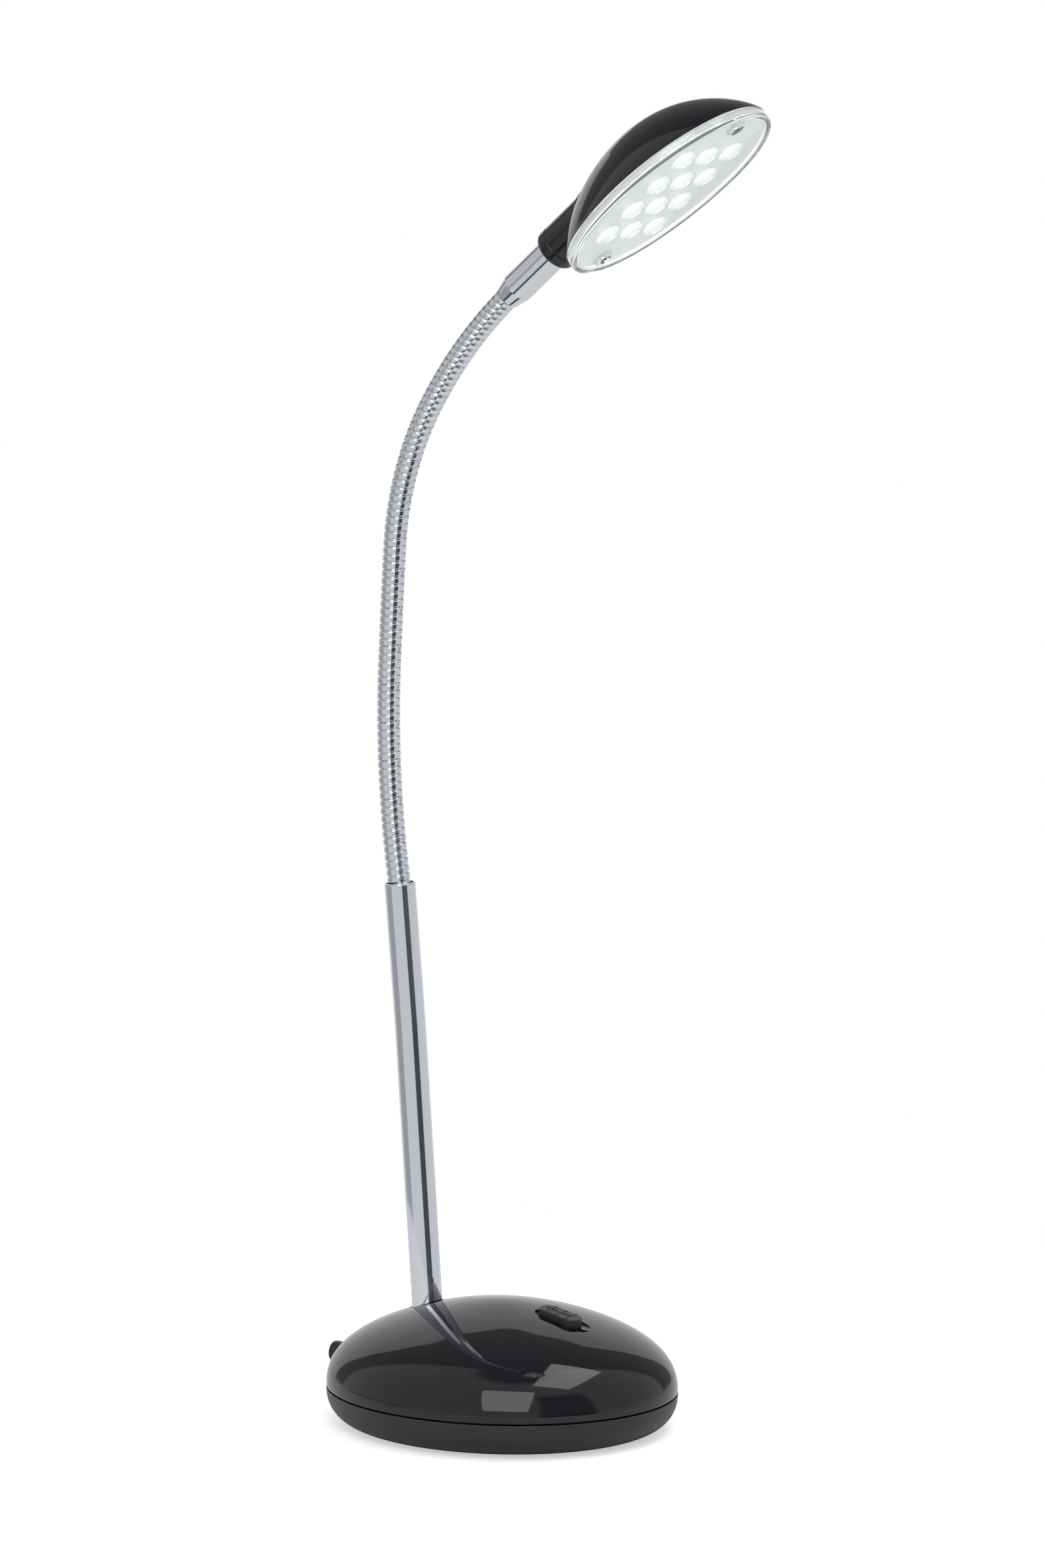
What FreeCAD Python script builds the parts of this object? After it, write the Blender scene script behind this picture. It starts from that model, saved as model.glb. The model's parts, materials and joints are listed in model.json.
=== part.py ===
import FreeCAD, Part
import math
import os
import Sketcher

# Gooseneck desk lamp with a slide switch in its base and twelve lights in its head.
# Millimetres and degrees. The origin is the middle of the face that the lamp rests on.
# +X runs from the stem towards the front, under the head, and +Z is up.

# The driving dimensions, each with its meaning
SIZES = [
    ("base_length", 117.3, "base, front to back at the seam"),
    ("base_width", 105.6, "base, side to side at the seam"),
    ("base_height", 41.4, "top of the dome above the rest face"),
    ("seam_height", 12.4, "seam between tray and dome"),
    ("seam_gap", 0.5, "open groove between tray and dome"),
    ("dome_side_power", 1.48, "how full the dome is towards its sides"),
    ("dome_top_power", 2.4, "how full the dome is towards its top"),
    ("crown_radius", 2.0, "small level crown of a dome"),
    ("shell_wall", 2.4, "wall of the dome"),
    ("tray_floor", 2.4, "floor of the tray"),
    ("tray_undercut", 13.0, "how far the tray's flat floor stands in from the seam"),
    ("tray_power", 2.24, "how round the tray's side is"),
    ("lip_height", 2.2, "tray lip that stands up inside the dome"),
    ("lip_wall", 1.1, "thickness of the tray lip"),
    ("fit_clearance", 0.15, "gap at a seated edge"),
    ("turn_clearance", 0.05, "radial gap of a turned fit"),
    ("pad_margin", 4.0, "how far the pad stands in from the tray's flat floor"),
    ("pad_thickness", 1.5, "rest pad"),
    ("pad_proud", 0.6, "how far the pad stands below the tray"),
    ("ballast_length", 82.0, "ballast, front to back"),
    ("ballast_width", 73.0, "ballast, side to side"),
    ("ballast_height", 9.0, "ballast plate"),
    ("ballast_round", 2.0, "rounded upper edge of the ballast plate"),
    ("stem_boss_radius", 9.5, "boss on the ballast round the stem"),
    ("stem_boss_top", 14.5, "top of that boss, along the stem"),
    ("stem_pocket_radius", 10.5, "pocket under the ballast for the nut"),
    ("stem_pocket_top", 9.0, "roof of that pocket, along the stem"),
    ("fixing_x", 31.0, "tray screws from the middle, front and back"),
    ("fixing_y", 21.0, "tray screws from the middle, left and right"),
    ("fixing_boss_radius", 3.6, "screw bosses of the dome"),
    ("fixing_boss_foot", 3.5, "foot of the screw bosses above the tray's floor"),
    ("fixing_shank_radius", 1.5, "shank of a tray screw"),
    ("fixing_seat", 3.9, "seat of the tray screws above the rest face"),
    ("fixing_head_radius", 2.5, "head of a tray screw"),
    ("fixing_head_height", 1.6, "head of a tray screw"),
    ("fixing_reach", 9.0, "shank of a tray screw above its seat"),
    ("hole_clearance", 0.4, "radial gap of a free hole"),
    ("stem_radius", 5.0, "outside of the stem tube"),
    ("stem_wall", 0.6, "wall of the stem tube"),
    ("stem_foot_x", 27.0, "stem axis behind the middle at the rest face"),
    ("stem_lean", 4.15, "backward lean of the stem's lower length"),
    ("stem_kink", 0.9, "further lean above the slight bend"),
    ("stem_kink_at", 127.5, "the bend, along the stem"),
    ("stem_kink_radius", 420.0, "radius of the bend"),
    ("stem_start", 4.2, "lower end of the tube, along the stem"),
    ("stem_length", 174.2, "mouth of the tube, along the stem"),
    ("stem_lip_round", 0.45, "rounded outer edge of the tube's mouth"),
    ("stem_hole_gap", 0.8, "open gap round the stem in the dome"),
    ("flange_radius", 8.6, "flange on the stem above the boss"),
    ("flange_height", 3.0, "flange on the stem"),
    ("washer_radius", 8.6, "washer under the ballast"),
    ("washer_height", 0.8, "washer under the ballast"),
    ("nut_radius", 8.6, "stem nut, across its corners, halved"),
    ("nut_height", 3.4, "stem nut"),
    ("inlet_height", 15.6, "cable inlet above the rest face"),
    ("inlet_reach", 67.0, "outer end of the cable inlet behind the middle"),
    ("inlet_radius", 3.6, "outside of the cable inlet"),
    ("inlet_bore_radius", 1.8, "bore of the cable inlet"),
    ("inlet_collar_radius", 4.8, "collar of the inlet inside the dome"),
    ("inlet_collar_length", 2.0, "collar of the inlet"),
    ("inlet_back_wall", 5.0, "face of the collar ahead of the base's back"),
    ("switch_x", 24.2, "middle of the switch recess ahead of the middle"),
    ("switch_slope", 11.0, "forward slope of the switch"),
    ("recess_length", 20.6, "switch recess, end to end"),
    ("recess_width", 9.6, "switch recess"),
    ("recess_depth", 1.9, "floor of the recess below the dome's surface there"),
    ("recess_floor", 1.4, "thickness left under the recess"),
    ("cap_length", 15.4, "switch cap, end to end"),
    ("cap_width", 7.6, "switch cap"),
    ("cap_proud", 2.1, "top of the cap above the dome's surface there"),
    ("cap_back_gap", 1.3, "gap behind the cap at rest"),
    ("cap_float", 0.2, "gap under the cap"),
    ("cap_ridge_pitch", 3.2, "spacing of the cap's grip ridges"),
    ("cap_ridge_shift", 1.2, "middle of the ridges ahead of the cap's middle"),
    ("cap_ridge_width", 1.3, "thickness of the grip ridges"),
    ("cap_ridge_height", 0.5, "height of the grip ridges"),
    ("cap_round", 0.7, "rounded upper edge of the cap"),
    ("cap_dimple_radius", 1.1, "round dimple at the back of the cap"),
    ("cap_dimple_depth", 0.35, "round dimple at the back of the cap"),
    ("switch_travel", 2.4, "travel of the cap"),
    ("tongue_length", 4.0, "tongue of the cap, along its travel"),
    ("tongue_width", 2.4, "tongue of the cap, across its travel"),
    ("tongue_reach", 4.6, "tongue below the recess's floor"),
    ("switch_body_length", 17.0, "switch under the dome"),
    ("switch_body_width", 8.4, "switch under the dome"),
    ("switch_body_height", 6.0, "switch under the dome"),
    ("board_length", 34.0, "driver board, front to back"),
    ("board_width", 26.0, "driver board, side to side"),
    ("board_thickness", 1.6, "driver board"),
    ("board_x", 6.0, "middle of the driver board"),
    ("board_post_height", 2.6, "posts of the ballast under the board"),
    ("board_post_radius", 2.4, "posts of the ballast under the board"),
    ("coil_side", 9.0, "coil on the driver board, each side"),
    ("coil_height", 5.0, "coil on the driver board"),
    ("can_radius", 3.1, "capacitor on the driver board"),
    ("can_height", 8.0, "capacitor on the driver board"),
    ("neck_radius", 3.75, "outside of the flexible neck"),
    ("neck_groove_radius", 3.3, "bottom of the grooves between its turns"),
    ("neck_pitch", 2.5, "one turn of the neck"),
    ("neck_groove_width", 0.75, "open width of a groove"),
    ("neck_joint_gap", 0.66, "gap between two links at the groove's bottom"),
    ("neck_bore_radius", 2.1, "bore of the neck"),
    ("neck_nose_radius", 2.85, "ball nose at a link's upper end"),
    ("neck_nose_reach", 1.2, "nose past the middle of the joint"),
    ("neck_socket_gap", 0.1, "radial gap between a nose and its socket"),
    ("neck_socket_depth", 2.2, "socket at a link's lower end"),
    ("neck_seat", 3.2, "start of the neck below the tube's mouth"),
    ("neck_start_angle", 99.2, "direction of the neck at its start, from the front"),
    ("neck_bend_lower", 2.0, "forward bend of each lower link"),
    ("neck_bend_waist", 0.25, "forward bend of each link above them"),
    ("neck_bend_curve", 6.7, "forward bend of each link in the main curve"),
    ("neck_bend_upper", 4.5, "forward bend of each upper link"),
    ("fitting_length", 10.0, "fitting in the tube's mouth"),
    ("collar_radius", 5.25, "chrome collar at the neck's upper end"),
    ("collar_taper_radius", 4.25, "collar's lower end"),
    ("collar_taper", 5.0, "tapered length of the collar"),
    ("collar_overlap", 1.5, "how far the collar covers the neck"),
    ("collar_length", 32.0, "upper end of the collar, from the neck's end"),
    ("collar_bore_radius", 3.9, "bore of the collar round the neck"),
    ("holder_start", 21.8, "mouth of the head's holder, from the neck's end"),
    ("hood_wall", 0.9, "hood of the head's dome round the holder"),
    ("hood_end", 60.0, "inner end of the hood, from the neck's end"),
    ("hood_top_start", 45.7, "hood's slanted edge on top, from the neck's end"),
    ("hood_low_start", 30.0, "hood's slanted edge below, from the neck's end"),
    ("holder_cable_radius", 3.0, "cable way through the holder"),
    ("holder_end", 56.0, "inner end of the holder, from the neck's end"),
    ("holder_radius", 7.25, "outside of the holder"),
    ("face_drop", 13.9, "lamp face below the collar's axis"),
    ("grid_middle", 69.9, "middle of the lights, from the neck's end"),
    ("head_middle", 73.6, "widest place of the head, from the neck's end"),
    ("head_front", 37.6, "head ahead of its widest place"),
    ("head_rear", 44.6, "head behind its widest place"),
    ("head_half_width", 32.3, "half of the head's width"),
    ("head_tail_cut", 30.2, "flat tail of the head, from the neck's end"),
    ("head_dome_height", 19.5, "dome of the head above the clear cover"),
    ("head_side_power", 2.21, "how full the head's dome is towards its sides"),
    ("head_top_power", 1.22, "how full the head's dome is towards its top"),
    ("head_wall", 2.0, "wall of the head's dome"),
    ("cover_height", 4.0, "rim of the clear cover"),
    ("cover_wall", 1.8, "wall of the clear cover's rim"),
    ("cover_face", 1.5, "face of the clear cover"),
    ("cover_round", 0.9, "rounded outer edge of the clear cover"),
    ("light_pitch", 12.9, "spacing of the lights, both ways"),
    ("lens_radius", 4.7, "outside of a lens ring"),
    ("lens_wall", 0.8, "wall of a lens ring"),
    ("lens_height", 1.0, "lens ring above the cover's face"),
    ("plate_length", 60.0, "silver plate, along the head"),
    ("plate_width", 38.0, "silver plate, across the head"),
    ("plate_corner", 11.0, "corner radius of the silver plate"),
    ("plate_thickness", 1.8, "silver plate"),
    ("cup_throat_radius", 2.7, "cup of the silver plate at its light"),
    ("light_board_margin", 1.0, "how far the light board stands in from the plate"),
    ("light_board_thickness", 1.2, "light board"),
    ("socket_length", 9.0, "wire socket on the light board"),
    ("socket_width", 5.0, "wire socket on the light board"),
    ("socket_height", 3.0, "wire socket on the light board"),
    ("socket_shift", 18.0, "wire socket ahead of the middle of the lights"),
    ("light_radius", 2.3, "body of a light"),
    ("light_height", 2.2, "light below its board, with its round end"),
    ("cover_screw_spacing", 67.7, "the two cover screws, centre to centre"),
    ("cover_boss_radius", 3.3, "bosses of the cover round its screws"),
    ("cover_shank_radius", 1.1, "shank of a cover screw"),
    ("cover_head_radius", 2.1, "head of a cover screw"),
    ("cover_head_height", 1.2, "head of a cover screw"),
    ("cover_screw_reach", 4.6, "shank of a cover screw above its head"),
]

# Counts, which a change of size leaves alone
LINKS_PER_ZONE = (6, 3, 4, 4)
TURNS_PER_LINK = 5
LIGHT_ROWS = 4
LIGHT_COLUMNS = 3
CAP_RIDGES = 3
DOME_SECTIONS = 9
PAN_SECTIONS = 6
CUT_MARGIN = 1.0

AXIS_Y = FreeCAD.Vector(0, 1, 0)
AXIS_Z = FreeCAD.Vector(0, 0, 1)

doc = FreeCAD.newDocument("GooseneckDeskLamp")
sheet = doc.addObject("Spreadsheet::Sheet", "Sizes")
for row, (alias, number, meaning) in enumerate(SIZES, start=1):
    sheet.set("A%d" % row, alias.replace("_", " "))
    sheet.set("B%d" % row, str(number))
    sheet.set("C%d" % row, meaning)
    sheet.setAlias("B%d" % row, alias)
doc.recompute()

parts = {}


def size(alias):
    """Value of a driving dimension."""
    return float(sheet.get(alias))


def bound(text):
    """Expression text with every driving dimension's name tied to the sheet."""
    words = []
    word = ""
    for letter in text + " ":
        if letter.isalnum() or letter == "_":
            word += letter
            continue
        words.append("Sizes." + word if word in ALIASES else word)
        words.append(letter)
        word = ""
    return "".join(words).strip()


ALIASES = {alias for alias, number, meaning in SIZES}


# Sketches and features, each bound to the sheet


def new_body(label, placement=None):
    body = doc.addObject("PartDesign::Body", label)
    body.Label = label
    if placement is not None:
        body.Placement = placement
    parts[label] = body
    return body


def new_sketch(body, name, role, offset=None):
    """Sketch on one of the body's own origin planes, raised along the plane's normal by offset."""
    sketch = body.newObject("Sketcher::SketchObject", name)
    plane = next(face for face in body.Origin.OriginFeatures if face.Role == role)
    sketch.AttachmentSupport = [(plane, "")]
    sketch.MapMode = "FlatFace"
    if offset is not None:
        sketch.setExpression("AttachmentOffset.Base.z", bound(offset))
    return sketch


def worked_out(sketch, text):
    return float(sketch.evalExpression(bound(text)))


def bind(sketch, constraint, text):
    index = sketch.addConstraint(constraint)
    sketch.setExpression("Constraints[%d]" % index, bound(text))


def pin_point(sketch, geometry, point, place):
    """Ties a point to the origin by its two distances. A zero puts it on the axis."""
    for kind, axis, text in (("DistanceX", -2, place[0]), ("DistanceY", -1, place[1])):
        if text == "0":
            sketch.addConstraint(Sketcher.Constraint("PointOnObject", geometry, point, axis))
        else:
            amount = worked_out(sketch, text)
            bind(sketch, Sketcher.Constraint(kind, -1, 1, geometry, point, amount), text)


def draw_circle(sketch, x, y, radius):
    centre = FreeCAD.Vector(worked_out(sketch, x), worked_out(sketch, y), 0)
    amount = worked_out(sketch, radius)
    geometry = sketch.addGeometry(Part.Circle(centre, AXIS_Z, amount), False)
    pin_point(sketch, geometry, 3, (x, y))
    bind(sketch, Sketcher.Constraint("Radius", geometry, amount), radius)


def draw_outline(sketch, corners):
    """Closed outline through corners, each a pair of expressions."""
    points = [FreeCAD.Vector(worked_out(sketch, x), worked_out(sketch, y), 0) for x, y in corners]
    count = len(points)
    first = sketch.GeometryCount
    for index in range(count):
        following = points[(index + 1) % count]
        sketch.addGeometry(Part.LineSegment(points[index], following), False)
    for index in range(count):
        following = first + (index + 1) % count
        sketch.addConstraint(Sketcher.Constraint("Coincident", first + index, 2, following, 1))
    for index in range(count):
        pin_point(sketch, first + index, 1, corners[index])


def draw_box(sketch, length, width, x="0"):
    """Rectangle whose middle is at x on the sketch's X axis."""
    back = "(%s) - (%s) / 2" % (x, length)
    front = "(%s) + (%s) / 2" % (x, length)
    side = "(%s) / 2" % width
    draw_outline(sketch, [(back, "-" + side), (front, "-" + side), (front, side), (back, side)])


def draw_slot(sketch, x, length, width):
    """Outline with round ends, long side along the sketch's X axis, its middle at x."""
    radius = "(%s) / 2" % width
    back = "(%s) - (%s) / 2 + %s" % (x, length, radius)
    front = "(%s) + (%s) / 2 - %s" % (x, length, radius)
    reach = worked_out(sketch, radius)
    low, high = worked_out(sketch, back), worked_out(sketch, front)
    quarter = math.pi / 2
    rounds = [(low, quarter, 3 * quarter), (high, -quarter, quarter)]
    arcs = [
        Part.ArcOfCircle(Part.Circle(FreeCAD.Vector(middle, 0, 0), AXIS_Z, reach), start, end)
        for middle, start, end in rounds
    ]
    sides = [
        Part.LineSegment(FreeCAD.Vector(low, -reach, 0), FreeCAD.Vector(high, -reach, 0)),
        Part.LineSegment(FreeCAD.Vector(high, reach, 0), FreeCAD.Vector(low, reach, 0)),
    ]
    for geometry in (arcs[0], sides[0], arcs[1], sides[1]):
        sketch.addGeometry(geometry, False)
    for index in range(4):
        sketch.addConstraint(Sketcher.Constraint("Tangent", index, 2, (index + 1) % 4, 1))
    pin_point(sketch, 0, 3, (back, "0"))
    pin_point(sketch, 2, 3, (front, "0"))
    bind(sketch, Sketcher.Constraint("Radius", 0, reach), radius)


def add_feature(body, kind, name, sketch, length=None, backwards=False, through=False):
    """Pad, Pocket, Revolution or Groove of a sketch. Turned features go round the sketch's Y axis."""
    feature = body.newObject("PartDesign::" + kind, name)
    feature.Profile = sketch
    if kind in ("Revolution", "Groove"):
        feature.ReferenceAxis = (sketch, ["V_Axis"])
        feature.Angle = 360
    elif through:
        feature.Type = "ThroughAll"
        feature.Midplane = True
    else:
        feature.setExpression("Length", bound(length))
        feature.Reversed = backwards
    sketch.Visibility = False
    doc.recompute()
    return feature


def add_fillet(body, name, chosen, radius):
    """Fillet on the edges of the body's tip that chosen accepts."""
    base = body.Tip
    edges = ["Edge%d" % (index + 1) for index, edge in enumerate(base.Shape.Edges) if chosen(edge)]
    fillet = body.newObject("PartDesign::Fillet", name)
    fillet.Base = (base, edges)
    fillet.setExpression("Radius", bound(radius))
    doc.recompute()
    return fillet


def at_height(height, tolerance=1e-4):
    """Chooses the edges that lie in the level plane at height."""
    return lambda edge: all(abs(vertex.Z - height) < tolerance for vertex in edge.Vertexes)


def new_feature(label, shape, placement=None):
    """Sub-part whose form is worked out here from the sheet."""
    feature = doc.addObject("Part::Feature", label)
    feature.Label = label
    feature.Shape = shape
    if placement is not None:
        feature.Placement = placement
    parts[label] = feature
    return feature


# Plain solids


def cylinder(radius, bottom, top, x=0.0, y=0.0):
    return Part.makeCylinder(radius, top - bottom, FreeCAD.Vector(x, y, bottom))


def cross_cylinder(radius, back, front, y=0.0, z=0.0):
    """Cylinder along X."""
    return Part.makeCylinder(radius, front - back, FreeCAD.Vector(back, y, z), FreeCAD.Vector(1, 0, 0))


def block(length, width, bottom, top, x=0.0, y=0.0):
    corner = FreeCAD.Vector(x - length / 2, y - width / 2, bottom)
    return Part.makeBox(length, width, top - bottom, corner)


def slot_solid(length, width, bottom, top, x=0.0):
    """Block with round ends, long side along X."""
    reach = (length - width) / 2
    solid = block(2 * reach, width, bottom, top, x)
    for end in (x - reach, x + reach):
        solid = solid.fuse(cylinder(width / 2, bottom, top, end))
    return solid.removeSplitter()


def moved(shape, placement):
    turned = shape.copy()
    turned.Placement = placement.multiply(turned.Placement)
    return turned


# Oval forms, lofted through level ovals


def level_ellipse(along, across, height):
    """Level ellipse, and the turn of its start from +X. It starts at an end of its longer axis."""
    middle = FreeCAD.Vector(0, 0, height)
    if along >= across:
        return Part.Ellipse(middle, along, across), 0.0
    far = FreeCAD.Vector(0, across, height)
    side = FreeCAD.Vector(-along, 0, height)
    return Part.Ellipse(far, side, middle), math.pi / 2


def oval_wire(front, rear, side, height):
    """Level oval whose front and rear halves may differ in length."""
    if front == rear:
        return Part.Wire(level_ellipse(front, side, height)[0].toShape())
    quarter = math.pi / 2
    halves = []
    for reach, start in ((front, -quarter), (rear, quarter)):
        curve, turn = level_ellipse(reach, side, height)
        halves.append(Part.ArcOfEllipse(curve, start - turn, start - turn + math.pi).toShape())
    return Part.Wire(halves)


def oval_prism(reach, bottom, top):
    """Upright oval solid. reach is its length to the front, to the rear and to a side."""
    return Part.makeLoft([oval_wire(*reach, bottom), oval_wire(*reach, top)], True, True)


def oval_dome(reach, height, powers, base):
    """Dome whose profile is (r / R)^a + (z / H)^b = 1, with a small level crown."""
    last = math.acos((size("crown_radius") / reach[0]) ** (powers[0] / 2))
    wires = []
    for step in range(DOME_SECTIONS):
        angle = last * step / (DOME_SECTIONS - 1)
        share = math.cos(angle) ** (2 / powers[0])
        rise = height * math.sin(angle) ** (2 / powers[1])
        wires.append(oval_wire(*[share * side for side in reach], base + rise))
    return Part.makeLoft(wires, True, False)


def oval_pan(reach, undercut, power, bottom, top):
    """Pan form: a flat floor that stands in by undercut, and a side that swells out to the top."""
    wires = []
    for step in range(PAN_SECTIONS):
        angle = math.pi / 2 * step / (PAN_SECTIONS - 1)
        inset = undercut * (1 - math.sin(angle) ** (2 / power))
        rise = (top - bottom) * (1 - max(math.cos(angle), 0.0) ** (2 / power))
        share = 1 - inset / reach[0]
        wires.append(oval_wire(*[share * side for side in reach], bottom + rise))
    return Part.makeLoft(wires, True, False)


def drawn_in(reach, inset):
    """The same oval with each side drawn in by inset."""
    return [side - inset for side in reach]


# Frames of reference

half_length = size("base_length") / 2
base_reach = [half_length, half_length, size("base_width") / 2]
dome_powers = (size("dome_side_power"), size("dome_top_power"))
seam = size("seam_height")
dome_base = seam + size("seam_gap") / 2
tray_top = seam - size("seam_gap") / 2
dome_height = size("base_height") - dome_base
tray_under = size("pad_proud")
floor_top = tray_under + size("tray_floor")
ballast_top = floor_top + size("ballast_height")

pad_reach = [side * (1 - size("tray_undercut") / half_length) - size("pad_margin") for side in base_reach]

stem_place = FreeCAD.Placement(
    FreeCAD.Vector(-size("stem_foot_x"), 0, 0), FreeCAD.Rotation(AXIS_Y, -size("stem_lean")))


def dome_surface(x):
    """Height of the dome's outer surface over the middle plane at x."""
    share = 1 - (abs(x) / half_length) ** size("dome_side_power")
    return dome_base + dome_height * share ** (1 / size("dome_top_power"))


switch_place = FreeCAD.Placement(
    FreeCAD.Vector(size("switch_x"), 0, dome_surface(size("switch_x"))),
    FreeCAD.Rotation(AXIS_Y, size("switch_slope")))
# The cap rests at the back of its recess
cap_x = (size("cap_length") - size("recess_length")) / 2 + size("cap_back_gap")


# Base


def fixing_places():
    return [
        (x, y)
        for x in (-size("fixing_x"), size("fixing_x"))
        for y in (-size("fixing_y"), size("fixing_y"))
    ]


def make_base_shell():
    """Hollow oval dome with screw bosses, the stem's hole, the switch recess and the inlet's hole."""
    wall = size("shell_wall")
    outer = oval_dome(base_reach, dome_height, dome_powers, dome_base)
    inner = oval_dome(drawn_in(base_reach, wall), dome_height - wall, dome_powers, dome_base)
    shell = outer.cut(inner)
    boss_foot = floor_top + size("fixing_boss_foot")
    reach = math.hypot(size("fixing_x"), size("fixing_y") * base_reach[0] / base_reach[2])
    boss_top = dome_surface(reach) - wall * 0.8
    for x, y in fixing_places():
        shell = shell.fuse(cylinder(size("fixing_boss_radius"), boss_foot, boss_top, x, y))
    well = slot_solid(
        size("recess_length") + 2 * wall, size("recess_width") + 2 * wall,
        -size("recess_depth") - size("recess_floor"), -size("recess_depth") + size("fit_clearance"))
    shell = shell.fuse(moved(well, switch_place))
    for x, y in fixing_places():
        shell = shell.cut(cylinder(
            size("fixing_shank_radius"), boss_foot - CUT_MARGIN, boss_foot + size("fixing_reach"), x, y))
    stem_hole = cylinder(
        size("stem_radius") + size("stem_hole_gap"), ballast_top, 2 * size("base_height"))
    recess = slot_solid(
        size("recess_length"), size("recess_width"), -size("recess_depth"), size("recess_width"))
    shell = shell.cut(moved(stem_hole, stem_place))
    shell = shell.cut(moved(recess, switch_place))
    shell = shell.cut(moved(make_tongue_slot(), switch_place))
    return shell.cut(make_inlet_hole())


def make_inlet_hole():
    radius = size("inlet_radius") + size("fit_clearance")
    return cross_cylinder(radius, -size("inlet_reach"), -half_length / 2, 0, size("inlet_height"))


def make_tongue_slot():
    """Slot in the recess's floor that the cap's tongue travels in."""
    gap = size("hole_clearance")
    length = size("tongue_length") + size("switch_travel") + 2 * gap
    return block(
        length, size("tongue_width") + 2 * gap,
        -size("recess_depth") - size("recess_floor") - CUT_MARGIN, -size("recess_depth") + CUT_MARGIN,
        cap_x + size("switch_travel") / 2)


def make_base_tray():
    """Pan with a lip inside the dome, a recess for the pad and posts for the screws."""
    lip_reach = drawn_in(base_reach, size("shell_wall") + size("fit_clearance"))
    hollow_reach = drawn_in(lip_reach, size("lip_wall"))
    undercut = size("tray_undercut")
    lip_top = dome_base + size("lip_height")
    tray = oval_pan(base_reach, undercut, size("tray_power"), tray_under, tray_top)
    tray = tray.fuse(oval_prism(lip_reach, tray_top - size("tray_floor"), lip_top))
    tray = tray.cut(oval_pan(hollow_reach, undercut, size("tray_power"), floor_top, tray_top))
    tray = tray.cut(oval_prism(hollow_reach, tray_top, lip_top + CUT_MARGIN))
    tray = tray.cut(oval_prism(drawn_in(pad_reach, -size("fit_clearance")), 0, size("pad_thickness")))
    post_top = floor_top + size("fixing_boss_foot")
    free_radius = size("fixing_shank_radius") + size("hole_clearance")
    head_radius = size("fixing_head_radius") + size("fit_clearance")
    for x, y in fixing_places():
        tray = tray.fuse(cylinder(size("fixing_boss_radius"), size("pad_thickness"), post_top, x, y))
        tray = tray.cut(cylinder(free_radius, 0, post_top + CUT_MARGIN, x, y))
        tray = tray.cut(cylinder(head_radius, 0, size("fixing_seat"), x, y))
    collar = cross_cylinder(
        size("inlet_collar_radius") + size("fit_clearance"), -half_length + size("inlet_back_wall"),
        -half_length / 2, 0, size("inlet_height"))
    return tray.cut(make_inlet_hole()).cut(collar)


def make_ballast():
    """Cast oval weight: a boss for the stem, a pocket for its nut, holes for the screw bosses, posts."""
    reach = [size("ballast_length") / 2, size("ballast_length") / 2, size("ballast_width") / 2]
    weight = oval_prism(reach, floor_top, ballast_top)
    upper = [edge for edge in weight.Edges if abs(edge.BoundBox.ZMin - ballast_top) < 0.001]
    weight = weight.makeFillet(size("ballast_round"), upper)
    boss = cylinder(size("stem_boss_radius"), ballast_top - size("ballast_height") / 2, size("stem_boss_top"))
    weight = weight.fuse(moved(boss, stem_place))
    for x, y in board_posts():
        post_top = ballast_top + size("board_post_height")
        weight = weight.fuse(cylinder(size("board_post_radius"), floor_top + CUT_MARGIN, post_top, x, y))
    pocket = cylinder(size("stem_pocket_radius"), -CUT_MARGIN, size("stem_pocket_top"))
    bore = cylinder(size("stem_radius") + size("turn_clearance"), 0, size("stem_boss_top") + CUT_MARGIN)
    weight = weight.cut(moved(pocket.fuse(bore), stem_place))
    free_radius = size("fixing_boss_radius") + size("hole_clearance")
    for x, y in fixing_places():
        weight = weight.cut(cylinder(free_radius, 0, 2 * ballast_top, x, y))
    return weight


def board_posts():
    along = (size("board_length") / 2) - size("board_post_radius")
    across = (size("board_width") / 2) - size("board_post_radius")
    return [(size("board_x") + x, y) for x in (-along, along) for y in (-across, across)]


def make_screw(head_radius, head_height, shank_radius, reach):
    """Screw that points up, with a cross recess, its head's seat at zero."""
    head = cylinder(head_radius, -head_height, 0)
    head = head.makeFillet(head_height / 2, [
        edge for edge in head.Edges if abs(edge.BoundBox.ZMax + head_height) < 0.001])
    shank = cylinder(shank_radius, -head_height / 4, reach)
    shank = shank.makeChamfer(shank_radius / 3, [
        edge for edge in shank.Edges if abs(edge.BoundBox.ZMin - reach) < 0.001])
    screw = head.fuse(shank)
    arm = 1.3 * head_radius
    for length, width in ((arm, arm / 4), (arm / 4, arm)):
        screw = screw.cut(block(length, width, -head_height - CUT_MARGIN, -head_height / 2))
    return screw


def screws_at(screw, places, seat):
    """The same screw at each place, seated at one height."""
    solids = []
    for x, y in places:
        solids.append(moved(screw, FreeCAD.Placement(FreeCAD.Vector(x, y, seat), FreeCAD.Rotation())))
    return Part.makeCompound(solids)


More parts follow.
